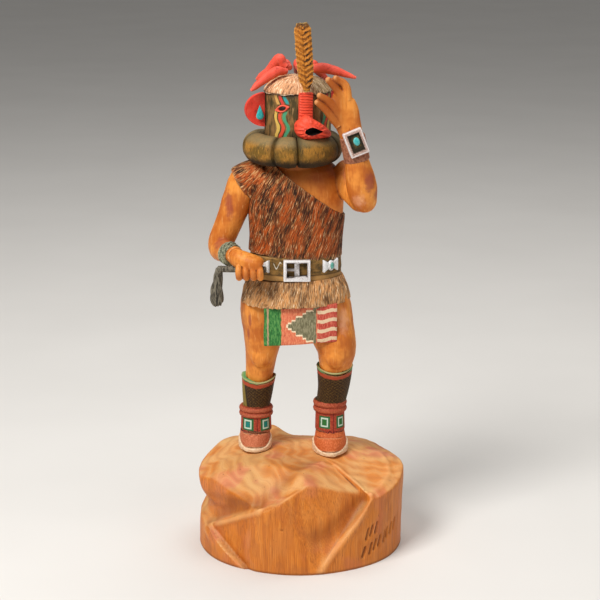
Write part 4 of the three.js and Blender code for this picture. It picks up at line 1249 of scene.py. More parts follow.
@dataclass
class Rock:
    """The rock: a round block of root wood cut down in broad facets."""

    half_width: float = 48.8
    half_depth: float = 46.2
    softness: float = 0.9
    columns: int = 480
    rows: int = 132
    dense_at: float = -48.0
    density: float = 0.5
    far: float = 80.0
    halvings: int = 26
    tops: tuple[Facet, ...] = (
        Facet((-22, -12, 45.8), (-27, -38, 39), (-48.5, -4, 36.5), (0, 0, 1)),
        Facet((25, -6, 45.8), (48, 0, 39.4), (33, -33.4, 33.2), (0, 0, 1)),
        Facet((-31, 12, 45.6), (-37, 30, 41.5), (-48.5, -4, 36.5), (0, 0, 1)),
        Facet((27, 12, 45.2), (48, 0, 39.4), (38, 28, 38.6), (0, 0, 1)),
        Facet((-5, 18, 45.6), (25, 18, 45.4), (8, 45, 37.4), (0, 0, 1)),
    )
    fronts: tuple[Facet, ...] = (
        Facet((0.7, -37, 44), (12.5, -15, 45.4), (15.5, -36, 38), (0, 0, 1)),
        Facet((-4.7, -43.3, 39.3), (10.2, -44.7, 2.9), (26.8, -32.2, 27.6), (0, -1, 0)),
        Facet((-18.2, -42.3, 28.8), (-42.6, -17.2, 14.4), (-27, -35.4, 2), (0, -1, 0)),
    )
    limits: tuple[Facet, ...] = (
        Facet((33, -33.4, 33.2), (10.2, -44.7, 2.9), (26.8, -32.2, 27.6), (-1, 0, 0)),
        Facet((33, -33.4, 33.2), (12.5, -15, 45.4), (12.5, -15, 0), (-1, -1, 0)),
        Facet((-44, -17.5, 15), (-28.5, -35.8, 2.5), (-22, -18, 7), (1, 0, 1)),
    )
    ledge: Facet = Facet((-18.2, -42.3, 28.8), (-41.6, -23.3, 15.5), (-28, -29, 24), (0, 0, 1))
    slope: Facet = Facet((-18.2, -41, 29.5), (0.7, -35.5, 42.8), (-20, -20, 44.2), (0, 0, 1))
    ridge_back: Facet = Facet((-15, -43.4, 32.2), (12.5, -15, 45.4), (-4.5, -27, 37), (-1, 0, 1))
    marks: tuple[Marks, ...] = (Marks(-50.6, 3.9, 8, 5.0, 1.1), Marks(-49.4, 3.9, 3, 13.8, 0.9))
    mark_width: float = 0.72
    mark_depth: float = 0.85
    pin: Triple = (-8.4, 22.0, 0.8)
    folds: tuple[Fold, ...] = (
        Fold(1.3, 1.7, ((-42.8, -18.9, 14), (-36.3, -23.7, 17.7), (-27.7, -32.3, 23.5),
                        (-18.3, -41.2, 29.5))),
        Fold(-1.5, 3.4, ((-43.5, -15.5, 16.3), (-36.4, -21.6, 21.4), (-27.7, -31.7, 27.3),
                         (-20.4, -37.8, 31.8))),
        Fold(-1.3, 3.0, ((-45.5, -9, 27), (-39.5, -19.1, 27.5), (-33, -26, 28.5), (-26.2, -30.7, 31))),
        Fold(0.5, 1.5, ((-18.3, -41.2, 29.5), (-13.2, -42.8, 33.1), (-7.1, -40.2, 36.2), (-3, -35.5, 41),
                        (3.1, -28.5, 44.9), (10.4, -18.4, 45.1))),
        Fold(-1.2, 4.6, ((-17, -37, 35), (-8, -33.5, 41), (-1, -25, 45.3), (5, -17, 45.6))),
        Fold(0.4, 1.2, ((10.4, -18.4, 45.1), (16.6, -18.7, 43.1), (22.7, -23.9, 40), (28.8, -28.1, 36.6),
                        (32.8, -31.3, 34))),
        Fold(0.9, 2.3, ((32.8, -32.1, 33.7), (30.6, -36.2, 27.2), (24.5, -39.3, 20.7), (18.4, -40.7, 13.7),
                        (12.2, -43.4, 6.1), (9.2, -45.4, 1.4))),
        Fold(-1.5, 5.0, ((30.2, -31.5, 31.3), (24.4, -33.5, 26.4), (19.2, -36.7, 21.8), (14, -39.6, 18.4),
                         (9, -42.1, 17.2))),
        Fold(0.6, 1.7, ((32.8, -31.3, 34), (38.3, -22.5, 35.1), (42.4, -11.1, 37.6), (41.7, -3.1, 40.3),
                        (38.3, 4.7, 42))),
        Fold(-1.1, 1.5, ((-43, -19.2, 13.9), (-39.5, -23.4, 11.2), (-35.2, -27.8, 7.9), (-31, -32.2, 4.7),
                         (-26.2, -36.6, 1.6))),
        Fold(0.8, 1.7, ((-45, -16.5, 11.5), (-41.8, -20.8, 8), (-37.6, -26, 4.4), (-33.4, -30.8, 1.5))),
    )

    def outside(self, p: Rows) -> Rows:
        """How far points lie outside the rock; negative inside.

        Args:
            p: points, one row each.

        Returns:
            Their distances in millimetres.
        """
        k = self.softness
        x, y, z = p.T
        around = np.arctan2(y / self.half_depth, x / self.half_width)
        reach = np.hypot(x / self.half_width, y / self.half_depth)
        ripple = 0.006 * np.sin(3 * around + 0.6) + 0.004 * np.sin(7 * around + z * 0.05)
        swell = 0.012 * bump(z, 35, 9) - 0.02 * bump(z, 22, 9) * bump(x, -48, 26)
        wall = (reach - 1 - ripple - swell) * self.half_depth
        mound = 5.6 * bump(x, -14, 6.5) * bump(y, 34, 9)
        hollow = 0.9 * bump(x, -1, 6) * bump(y, -6, 14)
        crown = z - SOLE_Z + hollow
        for facet in self.tops:
            crown = soft_most(crown, facet.outside(p), 4 * k)
        above_lip = self.ledge.outside(p)
        dent = 5.2 * bump(above_lip, 2.5, 6.5) * bump(x, -34, 17)
        cut = np.full(len(p), -1e3)
        for facet in self.fronts:
            cut = soft_most(cut, facet.outside(p), 2 * k)
        for facet in self.limits:
            cut = soft_least(cut, facet.outside(p), k)
        undercut = soft_least(above_lip, wall + dent, k)
        behind = soft_least(self.slope.outside(p), self.ridge_back.outside(p), k)
        for one in (crown - mound, undercut, behind, cut):
            wall = soft_most(wall, one, k)
        return wall

    def scratch(self, p: Rows) -> Rows:
        """How deep the rows of shallow marks and the pin hole are cut, from 0 to 1, at points."""
        x, y, z = p.T
        arc = np.degrees(np.arctan2(y, x))
        deep = np.zeros(len(p))
        for a0, z0, a1, z1 in (stroke for row in self.marks for stroke in row.strokes()):
            start, way = np.array([a0 * 0.82, z0]), np.array([(a1 - a0) * 0.82, z1 - z0])
            here = np.stack([arc * 0.82, z], axis=1) - start
            share = np.clip(here @ way / (way @ way), 0, 1)
            off = np.linalg.norm(here - share[:, None] * way, axis=1)
            deep = np.maximum(deep, step(-off, -self.mark_width * 1.7, -self.mark_width * 0.4))
        near = np.hypot(x - self.pin[0], z - self.pin[1])
        return np.maximum(deep, step(-near, -self.pin[2], -self.pin[2] * 0.4) * (y < 0))

    def surface(self, ways: Rows) -> Rows:
        """Where rays from the centre of the underside leave the rock."""
        low, high = np.zeros(len(ways)), np.full(len(ways), self.far)
        for _ in range(self.halvings):
            middle = (low + high) / 2
            inside = self.outside(ways * middle[:, None]) < 0
            low, high = np.where(inside, middle, low), np.where(inside, high, middle)
        return ways * low[:, None]

    def build(self) -> None:
        """Carves the rock from half a globe, seats the soles in it and finishes it."""
        rock = BENCH.blank("rock")
        bpy.ops.mesh.primitive_uv_sphere_add(segments=self.columns, ring_count=2 * self.rows, radius=1)
        bpy.ops.mesh.bisect(plane_co=(0, 0, 0), plane_no=(0, 0, 1), use_fill=True, clear_inner=True)
        BENCH.close()

        def shape(points: Rows, _: Rows) -> Rows:
            """Sends each point of the globe out to the carved surface."""
            turn = np.arctan2(points[:, 1], points[:, 0])
            turn = turn - self.density * np.sin(turn - math.radians(self.dense_at))
            up = np.arcsin(np.clip(points[:, 2], 0, 1))
            ways = np.stack([np.cos(up) * np.cos(turn), np.cos(up) * np.sin(turn), np.sin(up)], axis=1)
            place = self.surface(ways)
            place[up < 1e-4, 2] = 0
            return place

        BENCH.carve(rock, shape)
        knife, chip = Grain(3), Grain(4)
        places = BENCH.points(rock)
        lift = sum(fold.lift(places) for fold in self.folds)
        # the fold attribute carries painted light: the folds' lift for painted highlights and shade, less the
        # marks' depth for painted shade in them
        mark = rock.data.attributes.new("fold", "FLOAT", "POINT")
        deep = self.scratch(places)
        mark.data.foreach_set("value", (lift - deep * 1.5).astype(np.float32))

        def cut(points: Rows, outward: Rows) -> Rows:
            """Cuts the folds, the knife's shallow facets, the marks and the pin hole."""
            free = step(points[:, 2], 0.0, 1.5)
            rough = knife.read(points * (0.16, 0.16, 0.1)) * 0.26 + chip.read(points * (0.5, 0.5, 0.2)) * 0.1
            deep_cut = self.scratch(points) * self.mark_depth
            return points + outward * ((lift + rough - deep_cut) * free)[:, None]

        BENCH.carve(rock, cut)
        for boot in BOOTS:
            BENCH.combine(rock, boot.slab("seat", SOLE_Z, SOLE_Z + 12, GAP), "DIFFERENCE")
        BENCH.coat(rock, OiledWood().mix())
        BENCH.finish(rock, "rock", ["base"], "oiled_wood", crease=60)


# ---------------------------------------------------------------- legs and boots


@dataclass(frozen=True)
class Foot:
    """A moccasin's sole: its middle, half sizes and how pointed its toe is."""

    x: float
    y: float
    half_width: float
    half_length: float
    point: float


@dataclass(frozen=True)
class Ankle:
    """Where the anklet and the rolled collar lie round the ankle."""

    x: float
    y: float
    low: float
    middle: float
    high: float
    half_width: float
    half_depth: float


@dataclass
class Boot:
    """One painted boot from its sole to its rim."""

    name: str
    shaft: Sequence[Station]
    foot: Foot
    ankle: Ankle
    finish: BootPaint
    sole_depth: float = 1.9
    curl_height: float = 3.2

    def slab(self, name: str, low: float, high: float, margin: float, sides: int = 64) -> Piece:
        """A flat slab with the sole's outline, grown by a margin."""
        slab = BENCH.blank(name)
        bpy.ops.mesh.primitive_circle_add(vertices=sides, radius=1, location=(0, 0, low), fill_type="NGON")
        bpy.ops.mesh.extrude_region_move(TRANSFORM_OT_translate={"value": (0, 0, high - low)})
        BENCH.close()
        foot = self.foot

        def outline(points: Rows, _: Rows) -> Rows:
            """Stretches the disc to the moccasin's outline."""
            lengthwise = points[:, 1]
            pinch = np.where(lengthwise < 0, 1 - foot.point * lengthwise**2, 1)
            wide = foot.x + (foot.half_width + margin) * points[:, 0] * pinch
            return np.stack([wide, foot.y + (foot.half_length + margin) * lengthwise, points[:, 2]], axis=1)

        return BENCH.carve(slab, outline)

    def build(self) -> Piece:
        """The boot as one closed body, in its paint, with its cream sole."""
        foot, ankle, top = self.foot, self.ankle, self.shaft[-1]
        shaft = BENCH.loft("shaft", self.shaft, sides=56, rings=22)
        rim = self.finish.rim

        def flare(points: Rows, _: Rows) -> Rows:
            """Lets the shaft's mouth dip in front and stand up at the sides."""
            high = step(points[:, 2], rim - 9, rim + 1)
            side = np.clip(np.abs(points[:, 0] - top[0]) / top[3], 0, 1) ** 2
            points[:, 2] += high * (side * 1.8 - 0.6)
            return points

        BENCH.carve(shaft, flare)
        lip = BENCH.hoop("lip", top[:3], top[3] - 0.25, 0.42, (1, top[4] / top[3], 1), 56, 10)
        BENCH.carve(lip, flare)
        roll = (ankle.high - ankle.middle) / 2
        rings = [
            BENCH.hoop(
                "ring", (ankle.x, ankle.y, ankle.middle + roll * (n + 0.5)), ankle.half_width - 0.4,
                roll * 0.55, (1, ankle.half_depth / ankle.half_width, 1), 56, 12,
            )
            for n in range(2)
        ]
        core = BENCH.loft("core", [
            (ankle.x, ankle.y, ankle.middle - 0.6, ankle.half_width - 0.5, ankle.half_depth - 0.5),
            (ankle.x, ankle.y, ankle.high + 0.5, ankle.half_width - 0.5, ankle.half_depth - 0.5),
        ], sides=48, rings=2)
        anklet = BENCH.loft("anklet", [
            (ankle.x, ankle.y, ankle.low, ankle.half_width + 0.2, ankle.half_depth + 0.3),
            (ankle.x, ankle.y, ankle.middle + 0.1, ankle.half_width, ankle.half_depth),
        ], sides=56, rings=8)
        BENCH.soften(anklet, 0.35)
        instep = (ankle.half_width + foot.half_width) / 2 - 0.5
        vamp = BENCH.loft("vamp", [
            (foot.x, foot.y, SOLE_Z + 1.2, foot.half_width - 0.6, foot.half_length - 0.7),
            (foot.x, foot.y + 0.4, SOLE_Z + 4, foot.half_width - 0.7, foot.half_length - 1.3),
            (foot.x, foot.y + 1.2, SOLE_Z + 7.4, instep, foot.half_length - 3.2),
            (ankle.x, ankle.y, ankle.low + 1.5, ankle.half_width - 0.4, ankle.half_depth),
        ], sides=56, rings=22)
        BENCH.combine(vamp, self.slab("trim", SOLE_Z, ankle.middle, -0.5), "INTERSECT")
        sole = self.slab("sole", SOLE_Z + GAP, SOLE_Z + GAP + self.sole_depth, 0.0, 72)
        BENCH.soften(sole, 0.6, 3)
        welt = Grain(11)
        BENCH.apply(sole, "SUBSURF", levels=1, render_levels=1, subdivision_type="SIMPLE")

        def curl(points: Rows, outward: Rows) -> Rows:
            """Curls the hide sole up round the sides of the foot and sews it unevenly."""
            back = step((points[:, 1] - foot.y) / foot.half_length, -0.85, 0.1)
            high = step(points[:, 2], SOLE_Z + GAP, SOLE_Z + GAP + self.sole_depth)
            points = points + outward * (welt.read(points * 0.5) * 0.14)[:, None]
            points[:, 2] += back * high * self.curl_height
            return points

        BENCH.carve(sole, curl)
        paint_all = self.finish.mix()
        boot = BENCH.coat(shaft, paint_all)
        for part in (lip, *rings, core, anklet, vamp):
            BENCH.combine(boot, BENCH.coat(part, paint_all))
        hide = PlainPaint(f"sole_{self.name}", (232, 200, 164), (206, 164, 122), 0.62, (1, 1, 2)).mix()
        return BENCH.combine(boot, BENCH.coat(sole, hide))


BOOTS = (
    Boot(
        name="right",
        shaft=((-20.9, 5, 61, 6.3, 6.7), (-20.8, 4.8, 67, 6.5, 6.9), (-20.4, 4, 73, 7.2, 7.4),
               (-20, 3.2, 78, 7.7, 7.9), (-19.7, 3, 80.8, 8.1, 8.3)),
        foot=Foot(-21.6, 4.4, 8.1, 12.1, 0.05),
        ankle=Ankle(-21.1, 5, 54.5, 61.6, 66.6, 7.2, 7.1),
        finish=BootPaint(
            "boot_right", x=-20.4, y=4.4, rim=80.3, shaft_low=67.2, ring_low=62.2, band_low=54.7,
            vamp=(178, 94, 58), square=(24, 122, 112), flap=True,
        ),
    ),
    Boot(
        name="left",
        shaft=((14.4, -0.6, 63, 6.4, 6.8), (14.9, -1.4, 71, 6.9, 7), (15.9, -2.8, 78, 7.4, 7.6),
               (16.3, -4, 84, 8.1, 8.5), (16.4, -4.6, 88, 8.5, 9.2)),
        foot=Foot(14.4, -1.4, 8.6, 12.9, 0.32),
        ankle=Ankle(14.3, -0.6, 56.5, 65.6, 71.4, 6.9, 7),
        finish=BootPaint(
            "boot_left", x=15.0, y=-1.6, rim=87.2, shaft_low=71.4, ring_low=66.2, band_low=56.7,
            vamp=(188, 88, 38), square=(44, 104, 44), flap=False, face=8.0,
        ),
    ),
)


# ---------------------------------------------------------------- body and clothes


@dataclass
class Body:
    """The bare wood of trunk, arms, hands and thighs, melted into one skin."""

    trunk: Sequence[Station] = (
        (-2.1, 0, 124, 19.5, 13.6), (-2, 0, 140, 20.2, 13.9), (-1.6, 0, 155, 21.2, 14.2),
        (-1.6, 0, 168, 22, 14.6), (-1.6, 0.6, 178, 21.6, 13.6), (-2.2, 1, 185, 15, 10.8),
        (-2.6, 1, 190, 9, 9),
    )
    neck: Sequence[Station] = ((-1.5, 0, 184, 12, 11), (-1.3, 0, 200, 13, 12))
    thighs: Sequence[Sequence[Station]] = (
        ((-11.5, 0.5, 130, 11, 11.5), (-15.4, 1, 118, 12.7, 12.6), (-17, 1.5, 106, 10.3, 10.8),
         (-18, 2, 96, 8.1, 9), (-18.8, 3, 88, 7, 7.7), (-20, 4, 76, 6.2, 6.4)),
        ((8.6, 0, 130, 10.6, 11.5), (11.4, -1, 119, 12.2, 12.6), (14.4, -3.4, 108, 11.1, 11),
         (17, -6.4, 98.5, 9.4, 10.3), (16.8, -5.6, 91, 8, 8.3), (16.2, -4.4, 80, 6.2, 6.4)),
    )
    right_upper: Sequence[Station] = (
        (-19, 0.5, 180, 6.4, 6.6), (-24.6, 0.3, 176.6, 8, 8), (-28.8, 0.8, 168, 7.2, 7.4),
        (-32.6, 1.4, 158, 6.4, 6.9), (-36.8, 2, 147.6, 6, 6.2), (-38, 2.4, 142.6, 5, 4.8),
    )
    right_fore: Sequence[Station] = (
        (-38.2, 4.6, 143.4, 4.2, 4.4), (-37.4, 1, 144.2, 5.3, 5.7), (-34.8, -6, 144.8, 5, 5.3),
        (-32, -12.6, 145.2, 4.3, 4.3), (-29.4, -17, 145.2, 4.1, 3.9),
    )
    right_palm: Sequence[Station] = (
        (-30.6, -15.6, 144.8, 3.6, 3.8), (-27.4, -18.6, 143.6, 4.4, 4.4), (-22.4, -20.4, 142.3, 4.7, 4.3),
        (-18.6, -21, 141.4, 4.2, 3.6), (-17.2, -21.2, 141, 2.8, 2.2),
    )
    right_finger_x: Sequence[float] = (-28, -24.8, -21.4, -18.3)
    left_upper: Sequence[Station] = (
        (17, 1, 180, 6.6, 7), (21.4, -1.6, 178, 7.4, 7.6), (25.4, -7, 173.4, 7, 7),
        (28.8, -12.4, 170, 6.2, 6.4), (30, -14.6, 168.6, 4.6, 4.6),
    )
    left_fore: Sequence[Station] = (
        (30.2, -13.6, 166.6, 3.6, 3.8), (29.6, -14.8, 169.6, 5.6, 5.4), (28.2, -16, 176, 7, 6.2),
        (26.8, -17.4, 184, 6.4, 5.6), (25.2, -18.6, 192, 5.1, 4.6), (24, -19.2, 199, 5, 4),
    )
    left_palm: Sequence[Station] = (
        (23.9, -19.4, 198, 4.8, 3.6), (22.2, -19.8, 204.4, 5.6, 3.2), (19.8, -20.4, 212, 6.6, 2.8),
        (19.2, -20.8, 218.4, 5, 2.3), (20.2, -21, 221.4, 2.6, 1.7),
    )
    left_fingers: Sequence[Sequence[tuple[float, float]]] = (
        ((21.5, 217.5), (20.2, 224), (15.8, 227)),
        ((20.2, 214.4), (16.6, 222), (12.7, 226.4)),
        ((18.8, 209.4), (13.4, 216.4), (8.8, 219.4)),
        ((17.6, 205.6), (12.2, 212.4), (7.8, 216.4)),
    )
    finger_girth: Sequence[float] = (2.1, 1.85, 1.55)
    fine: float = 0.3
    knees: Sequence[tuple[Triple, Triple]] = (
        ((-18.6, -4.4, 93), (4.6, 3, 5.4)), ((16.8, -13.6, 95.6), (5, 3.2, 5.6)),
    )

    def finger(self, knots: Sequence[Station], front: Vector) -> list[Piece]:
        """A finger and its round tip."""
        x, y, z, girth, _ = knots[-1]
        tip = BENCH.egg("tip", (x, y, z), (girth, girth, girth), 16)
        return [BENCH.loft("finger", knots, front, 16, 10), tip]

    def hands(self) -> list[Piece]:
        """Both hands, each melted from its palm and its fingers."""
        fist = [BENCH.loft("palm", self.right_palm, UP, 24, 14)]
        for n, x in enumerate(self.right_finger_x):
            fist += self.finger((
                (x, -22.2 - 0.3 * n, 141.6 - 0.3 * n, 1.5, 1.4),
                (x, -23.5 - 0.2 * n, 139.6 - 0.1 * n, 1.7, 1.6),
                (x + 0.1, -23.2 - 0.2 * n, 137.6, 1.7, 1.6),
                (x + 0.2, -22.2, 135.9, 1.5, 1.4),
            ), SIDEWAYS)
        open_hand = [BENCH.loft("palm", self.left_palm, FRONT, 24, 14)]
        for knots in self.left_fingers:
            open_hand += self.finger([
                (x, -21.1 - 0.5 * n, z, girth, girth)
                for n, ((x, z), girth) in enumerate(zip(knots, self.finger_girth))
            ], FRONT)
        joined = [BENCH.join("hand", parts) for parts in (fist, open_hand)]
        return [BENCH.remesh(hand, self.fine, smooth=1, keep=0.3) for hand in joined]

    def build(self) -> Piece:
        """The whole skin."""
        parts = [
            BENCH.loft("trunk", self.trunk, sides=48, rings=18),
            BENCH.loft("neck", self.neck, sides=32, rings=2),
            *(BENCH.loft("thigh", one, sides=40, rings=18) for one in self.thighs),
            BENCH.loft("upper", self.right_upper, sides=32, rings=18),
            BENCH.loft("fore", self.right_fore, UP, 32, 16),
            BENCH.loft("upper", self.left_upper, UP, 32, 16),
            BENCH.loft("fore", self.left_fore, sides=32, rings=18),
            *(BENCH.egg("knee", centre, half) for centre, half in self.knees),
        ]
        skin = BENCH.join("skin", parts)
        BENCH.remesh(skin, 0.42, smooth=4, keep=0.19)
        for hand in self.hands():
            BENCH.combine(skin, hand)
        knife = Grain(21)
        BENCH.carve(skin, lambda p, n: p + n * (knife.read(p * 0.22) * 0.16)[:, None])
        return BENCH.coat(skin, SkinWood().mix())


@dataclass
class Tunic:
    """The one-shouldered fur tunic with its cap sleeve."""

    coat: Sequence[Station] = (
        (-2.3, 0, 142.6, 21.9, 15.2), (-1.8, 0, 150, 21.7, 15.1), (-1.6, 0, 160, 22.3, 15.4),
        (-1.6, 0, 170, 22.8, 15.7), (-1.6, 0.6, 179, 22.6, 14.7), (-2.4, 1, 186.5, 15.5, 11.6),
    )
    sleeve: Sequence[Station] = (
        (-16, 0.5, 179.4, 8.5, 10), (-23.4, 0.3, 177, 8.9, 9.4), (-28.8, 0, 174.4, 8.1, 8.6),
        (-30.4, 0, 173.4, 7.8, 8.1),
    )
    neckline: tuple[Triple, Triple] = ((-6.8, 0, 181.6), (0.599, 0, 0.801))
    armhole: tuple[Triple, Triple] = ((-28.3, 0, 176.5), (-0.827, 0, -0.562))
    tuft: float = 0.34

    def build(self) -> Piece:
        """The tunic, cut along its armhole and its slanting neckline and combed into tufts."""
        tunic = BENCH.join("tunic", [
            BENCH.loft("coat", self.coat, sides=72, rings=24),
            BENCH.slice(BENCH.loft("sleeve", self.sleeve, sides=48, rings=14), *self.armhole),
        ])
        BENCH.remesh(tunic, 0.6, smooth=2)
        BENCH.slice(tunic, *self.neckline)
        comb, fine = Grain(31), Grain(32)

        def tufted(points: Rows, outward: Rows) -> Rows:
            """Raises slanting tufts."""
            lie = combed(points - (-1.6, 0, 160), 21, 0.24, -0.019)
            lift = comb.read(lie * 0.45) * self.tuft + fine.read(lie * 1.05) * self.tuft * 0.55
            return points + outward * lift[:, None]

        BENCH.carve(tunic, tufted)
        return BENCH.coat(tunic, FurPaint(Pelt.TUNIC).mix())


@dataclass
class Skirt:
    """The fur flap below the belt, with its clipped lower edge."""

    low: float = 120.8
    high: float = 132.2
    half_width: float = 25.9
    half_depth: float = 20.0
    lean: float = -2.2
    aside: float = 4.8

    def build(self) -> Piece:
        """The fur flap."""
        middle = (self.low + self.high) / 2
        skirt = BENCH.loft("skirt", [
            (-2.2, 0, self.low, self.half_width - 0.2, self.half_depth),
            (-2.2, 0, middle, self.half_width - 1.4, self.half_depth - 1.8),
            (-2.2, 0, self.high, self.half_width - 3.6, self.half_depth - 4.2),
        ], sides=220, rings=14)
        comb = Grain(41)

        def tufted(points: Rows, outward: Rows) -> Rows:
            """Raises upright tufts and clips the edge unevenly."""
            lie = points * (0.6, 0.6, 0.1)
            tufts = comb.read(lie) * 0.42 + comb.read(lie * 2.1) * 0.22
            side = np.abs(outward[:, 2]) < 0.8
            points = points + outward * (tufts * side)[:, None]
            points[:, 2] -= step(-points[:, 2], -self.low - 2.5, -self.low) * (comb.read(lie * 1.7) * 0.5)
            return points

        BENCH.carve(skirt, tufted)
        BENCH.shift(skirt, Matrix.Translation((self.aside, 0, 0)) @ turned(self.lean, "Y"))
        return BENCH.coat(skirt, FurPaint(Pelt.HEM, -0.009, (-2, 0, 116), 25.0).mix())


@dataclass
class Belt:
    """The leather belt with its square buckle and two butterfly conchos."""

    x: float = -2.1
    low: float = 132.0
    high: float = 143.2
    half_width: float = 21.6
    half_depth: float = 15.2
    buckle: tuple[Triple, Triple] = ((-7.6, -16.7, 132.5), (4.8, -14, 142.6))
    windows: Sequence[tuple[float, float, float, float]] = (
        (-6.0, -2.5, 138.6, 141.3), (-6.0, -2.5, 134.6, 137.6), (-0.3, 3.3, 135.0, 141.3),
    )
    conchos: Sequence[tuple[float, float]] = ((14.4, 38), (-18, -38))

    def concho(self, x: float, turn: float) -> list[Piece]:
        """A silver butterfly and its stone, standing on the belt at x."""
        wings = BENCH.blank("wings")
        bpy.ops.mesh.primitive_cube_add(size=1, location=(0, 0.6, 0))
        bpy.ops.transform.resize(value=(2.4, 1.6, 2.5), center_override=(0, 0.6, 0))
        for side in (-1, 1):
            BENCH.pick(wings, lambda _, at: at.x * side > 1.1)
            bpy.ops.mesh.extrude_region_move(TRANSFORM_OT_translate={"value": (side * 2.9, 0, 0)})
            bpy.ops.transform.resize(value=(1, 1, 2.4), center_override=(side * 4.1, 0.6, 0))
        BENCH.close()
        BENCH.apply(wings, "BEVEL", width=0.22, segments=2)
        disc = BENCH.egg("disc", (0, 0.1, 0), (1.9, 1.15, 2.5), 24)
        stone = BENCH.egg("stone", (0, -0.6, 0), (1.15, 0.9, 1.65), 20)
        across = (x - self.x) / self.half_width
        y = -self.half_depth * math.sqrt(1 - across * across) - 0.9
        place = Matrix.Translation((x, y, 139)) @ turned(turn, "Z")
        silver = SilverLeaf("silver_concho", (206, 204, 198)).mix()
        metal = BENCH.combine(BENCH.coat(wings, silver), BENCH.coat(disc, silver))
        return [BENCH.shift(metal, place), BENCH.shift(BENCH.coat(stone, Stone((20, 98, 72)).mix()), place)]

    def build(self) -> Piece:
        """The belt with all that is on it."""
        strap = BENCH.loft("strap", [
            (self.x, 0, self.low, self.half_width, self.half_depth),
            (self.x, 0, self.high, self.half_width - 0.4, self.half_depth),
        ], sides=120, rings=10)
        BENCH.soften(strap, 0.5, angle=60)
        hide = Grain(51)

        def work(points: Rows, outward: Rows) -> Rows:
            """Presses a groove along the lower strap and lets the hide buckle a little."""
            groove = -0.35 * bump(points[:, 2], self.low + 2.9, 0.6)
            side = np.abs(outward[:, 2]) < 0.7
            return points + outward * ((groove + hide.read(points * 0.3) * 0.22) * side)[:, None]

        belt = BENCH.coat(BENCH.carve(strap, work), Leather(self.low).mix())
        plate = BENCH.block("buckle", *self.buckle, bevel=0.4)
        for left, right, low, high in self.windows:
            window = BENCH.block("window", (left, -18, low), (right, -13, high), bevel=0.3)
            BENCH.combine(plate, window, "DIFFERENCE")
        BENCH.combine(belt, BENCH.coat(plate, SilverLeaf().mix()))
        for x, turn in self.conchos:
            for part in self.concho(x, turn):
                BENCH.combine(belt, part)
        return belt


@dataclass
class Flap:
    """A cloth flap carved flat on the thighs: the painted apron, or the plain one behind."""

    name: str
    y: float
    left: float
    right: float
    finish: Any
    top: float = 121.8
    bottom: float = 102.6
    thickness: float = 4.0
    wrap: float = 1.3

    def build(self) -> Piece:
        """The flap, rounded across the body."""
        low = (self.left, self.y - self.thickness / 2, self.bottom)
        high = (self.right, self.y + self.thickness / 2, self.top)
        flap = BENCH.block(self.name, low, high, bevel=0.5, cuts=15)
        hang = Grain(61)

        def drape(points: Rows, outward: Rows) -> Rows:
            """Wraps the flap round the body and lets its lower edge slant."""
            across = (points[:, 0] + 1.6) / 18
            share = (self.top - points[:, 2]) / (self.top - self.bottom)
            points = points + outward * (hang.read(points * 0.14) * 0.3)[:, None]
            points[:, 1] -= np.sign(self.y) * self.wrap * across * across
            points[:, 2] += 0.055 * (points[:, 0] + 1.6) * share
            return points

        BENCH.thin(BENCH.carve(flap, drape), 0.35)
        return BENCH.coat(flap, self.finish.mix())


@dataclass
class Bracelets:
    """The bow guard on the left wrist and the twisted cord on the right."""

    guard: Sequence[Station] = ((25.8, -18.2, 189.6, 5.9, 5.2), (23.4, -19.4, 201, 5.8, 4.8))
    plaque: Triple = (25, -23.9, 198.8)
    lean: float = -21.0
    turn: float = 8.0
    cord: Sequence[Station] = ((-33.4, -11.0, 145.4, 4.9, 5.0), (-30.9, -15.6, 144.5, 4.7, 4.7))

    def build(self) -> list[Piece]:
        """Guard, frame, stone and cord."""
        band = BENCH.loft("guard", self.guard, sides=48, rings=10)
        BENCH.soften(band, 0.4, angle=60)
        BENCH.coat(band, PlainPaint("guard_leather", (160, 104, 76), (118, 66, 44), 0.6).mix())
        place = Matrix.Translation(self.plaque) @ turned(self.lean, "Y")
        place = place @ turned(self.turn, "Z")
        rim = BENCH.block("plaque", (-4.5, -1, -6.3), (4.4, 1.6, 5.6), bevel=0.5)
        BENCH.coat(rim, SilverLeaf("guard_silver", (170, 134, 118), (214, 188, 176)).mix())
        hollow = BENCH.block("hollow", (-2.8, -2, -4.3), (2.8, -0.2, 3.9), bevel=0.25)
        BENCH.coat(hollow, PlainPaint("guard_hollow", (98, 84, 46), (62, 50, 28), 0.7).mix())
        BENCH.combine(rim, hollow, "DIFFERENCE")
        stone = BENCH.egg("stone", (0.4, -0.4, 0.2), (1.45, 0.8, 1.95), 24)
        BENCH.coat(stone, Stone().mix())
        cord = BENCH.loft("cord", self.cord, UP, 72, 30)

        def twist(points: Rows, outward: Rows) -> Rows:
            """Lays three turns of two-ply cord side by side."""
            start, end = np.array(self.cord[0][:3]), np.array(self.cord[1][:3])
            way = (end - start) / np.linalg.norm(end - start)
            share = (points - start) @ way / np.linalg.norm(end - start)
            spoke = points - start - ((points - start) @ way)[:, None] * way
            around = np.arctan2(spoke[:, 2], spoke @ np.cross(way, (0, 0, 1)))
            turns = np.abs(np.sin(share * math.pi * 2))
            ply = np.cos(around * 12 + share * math.pi * 9) * 0.36
            side = np.abs(outward @ way) < 0.7
            return points + outward * ((turns * 0.8 - 0.4 + ply) * side)[:, None]

        fibre = PlainPaint("cord_fibre", (146, 146, 118), (78, 78, 58), 0.75, (1, 1, 1.6))
        BENCH.coat(BENCH.carve(cord, twist), fibre.mix())
        return [band, BENCH.shift(rim, place), BENCH.shift(stone, place), cord]


# ---------------------------------------------------------------- the head


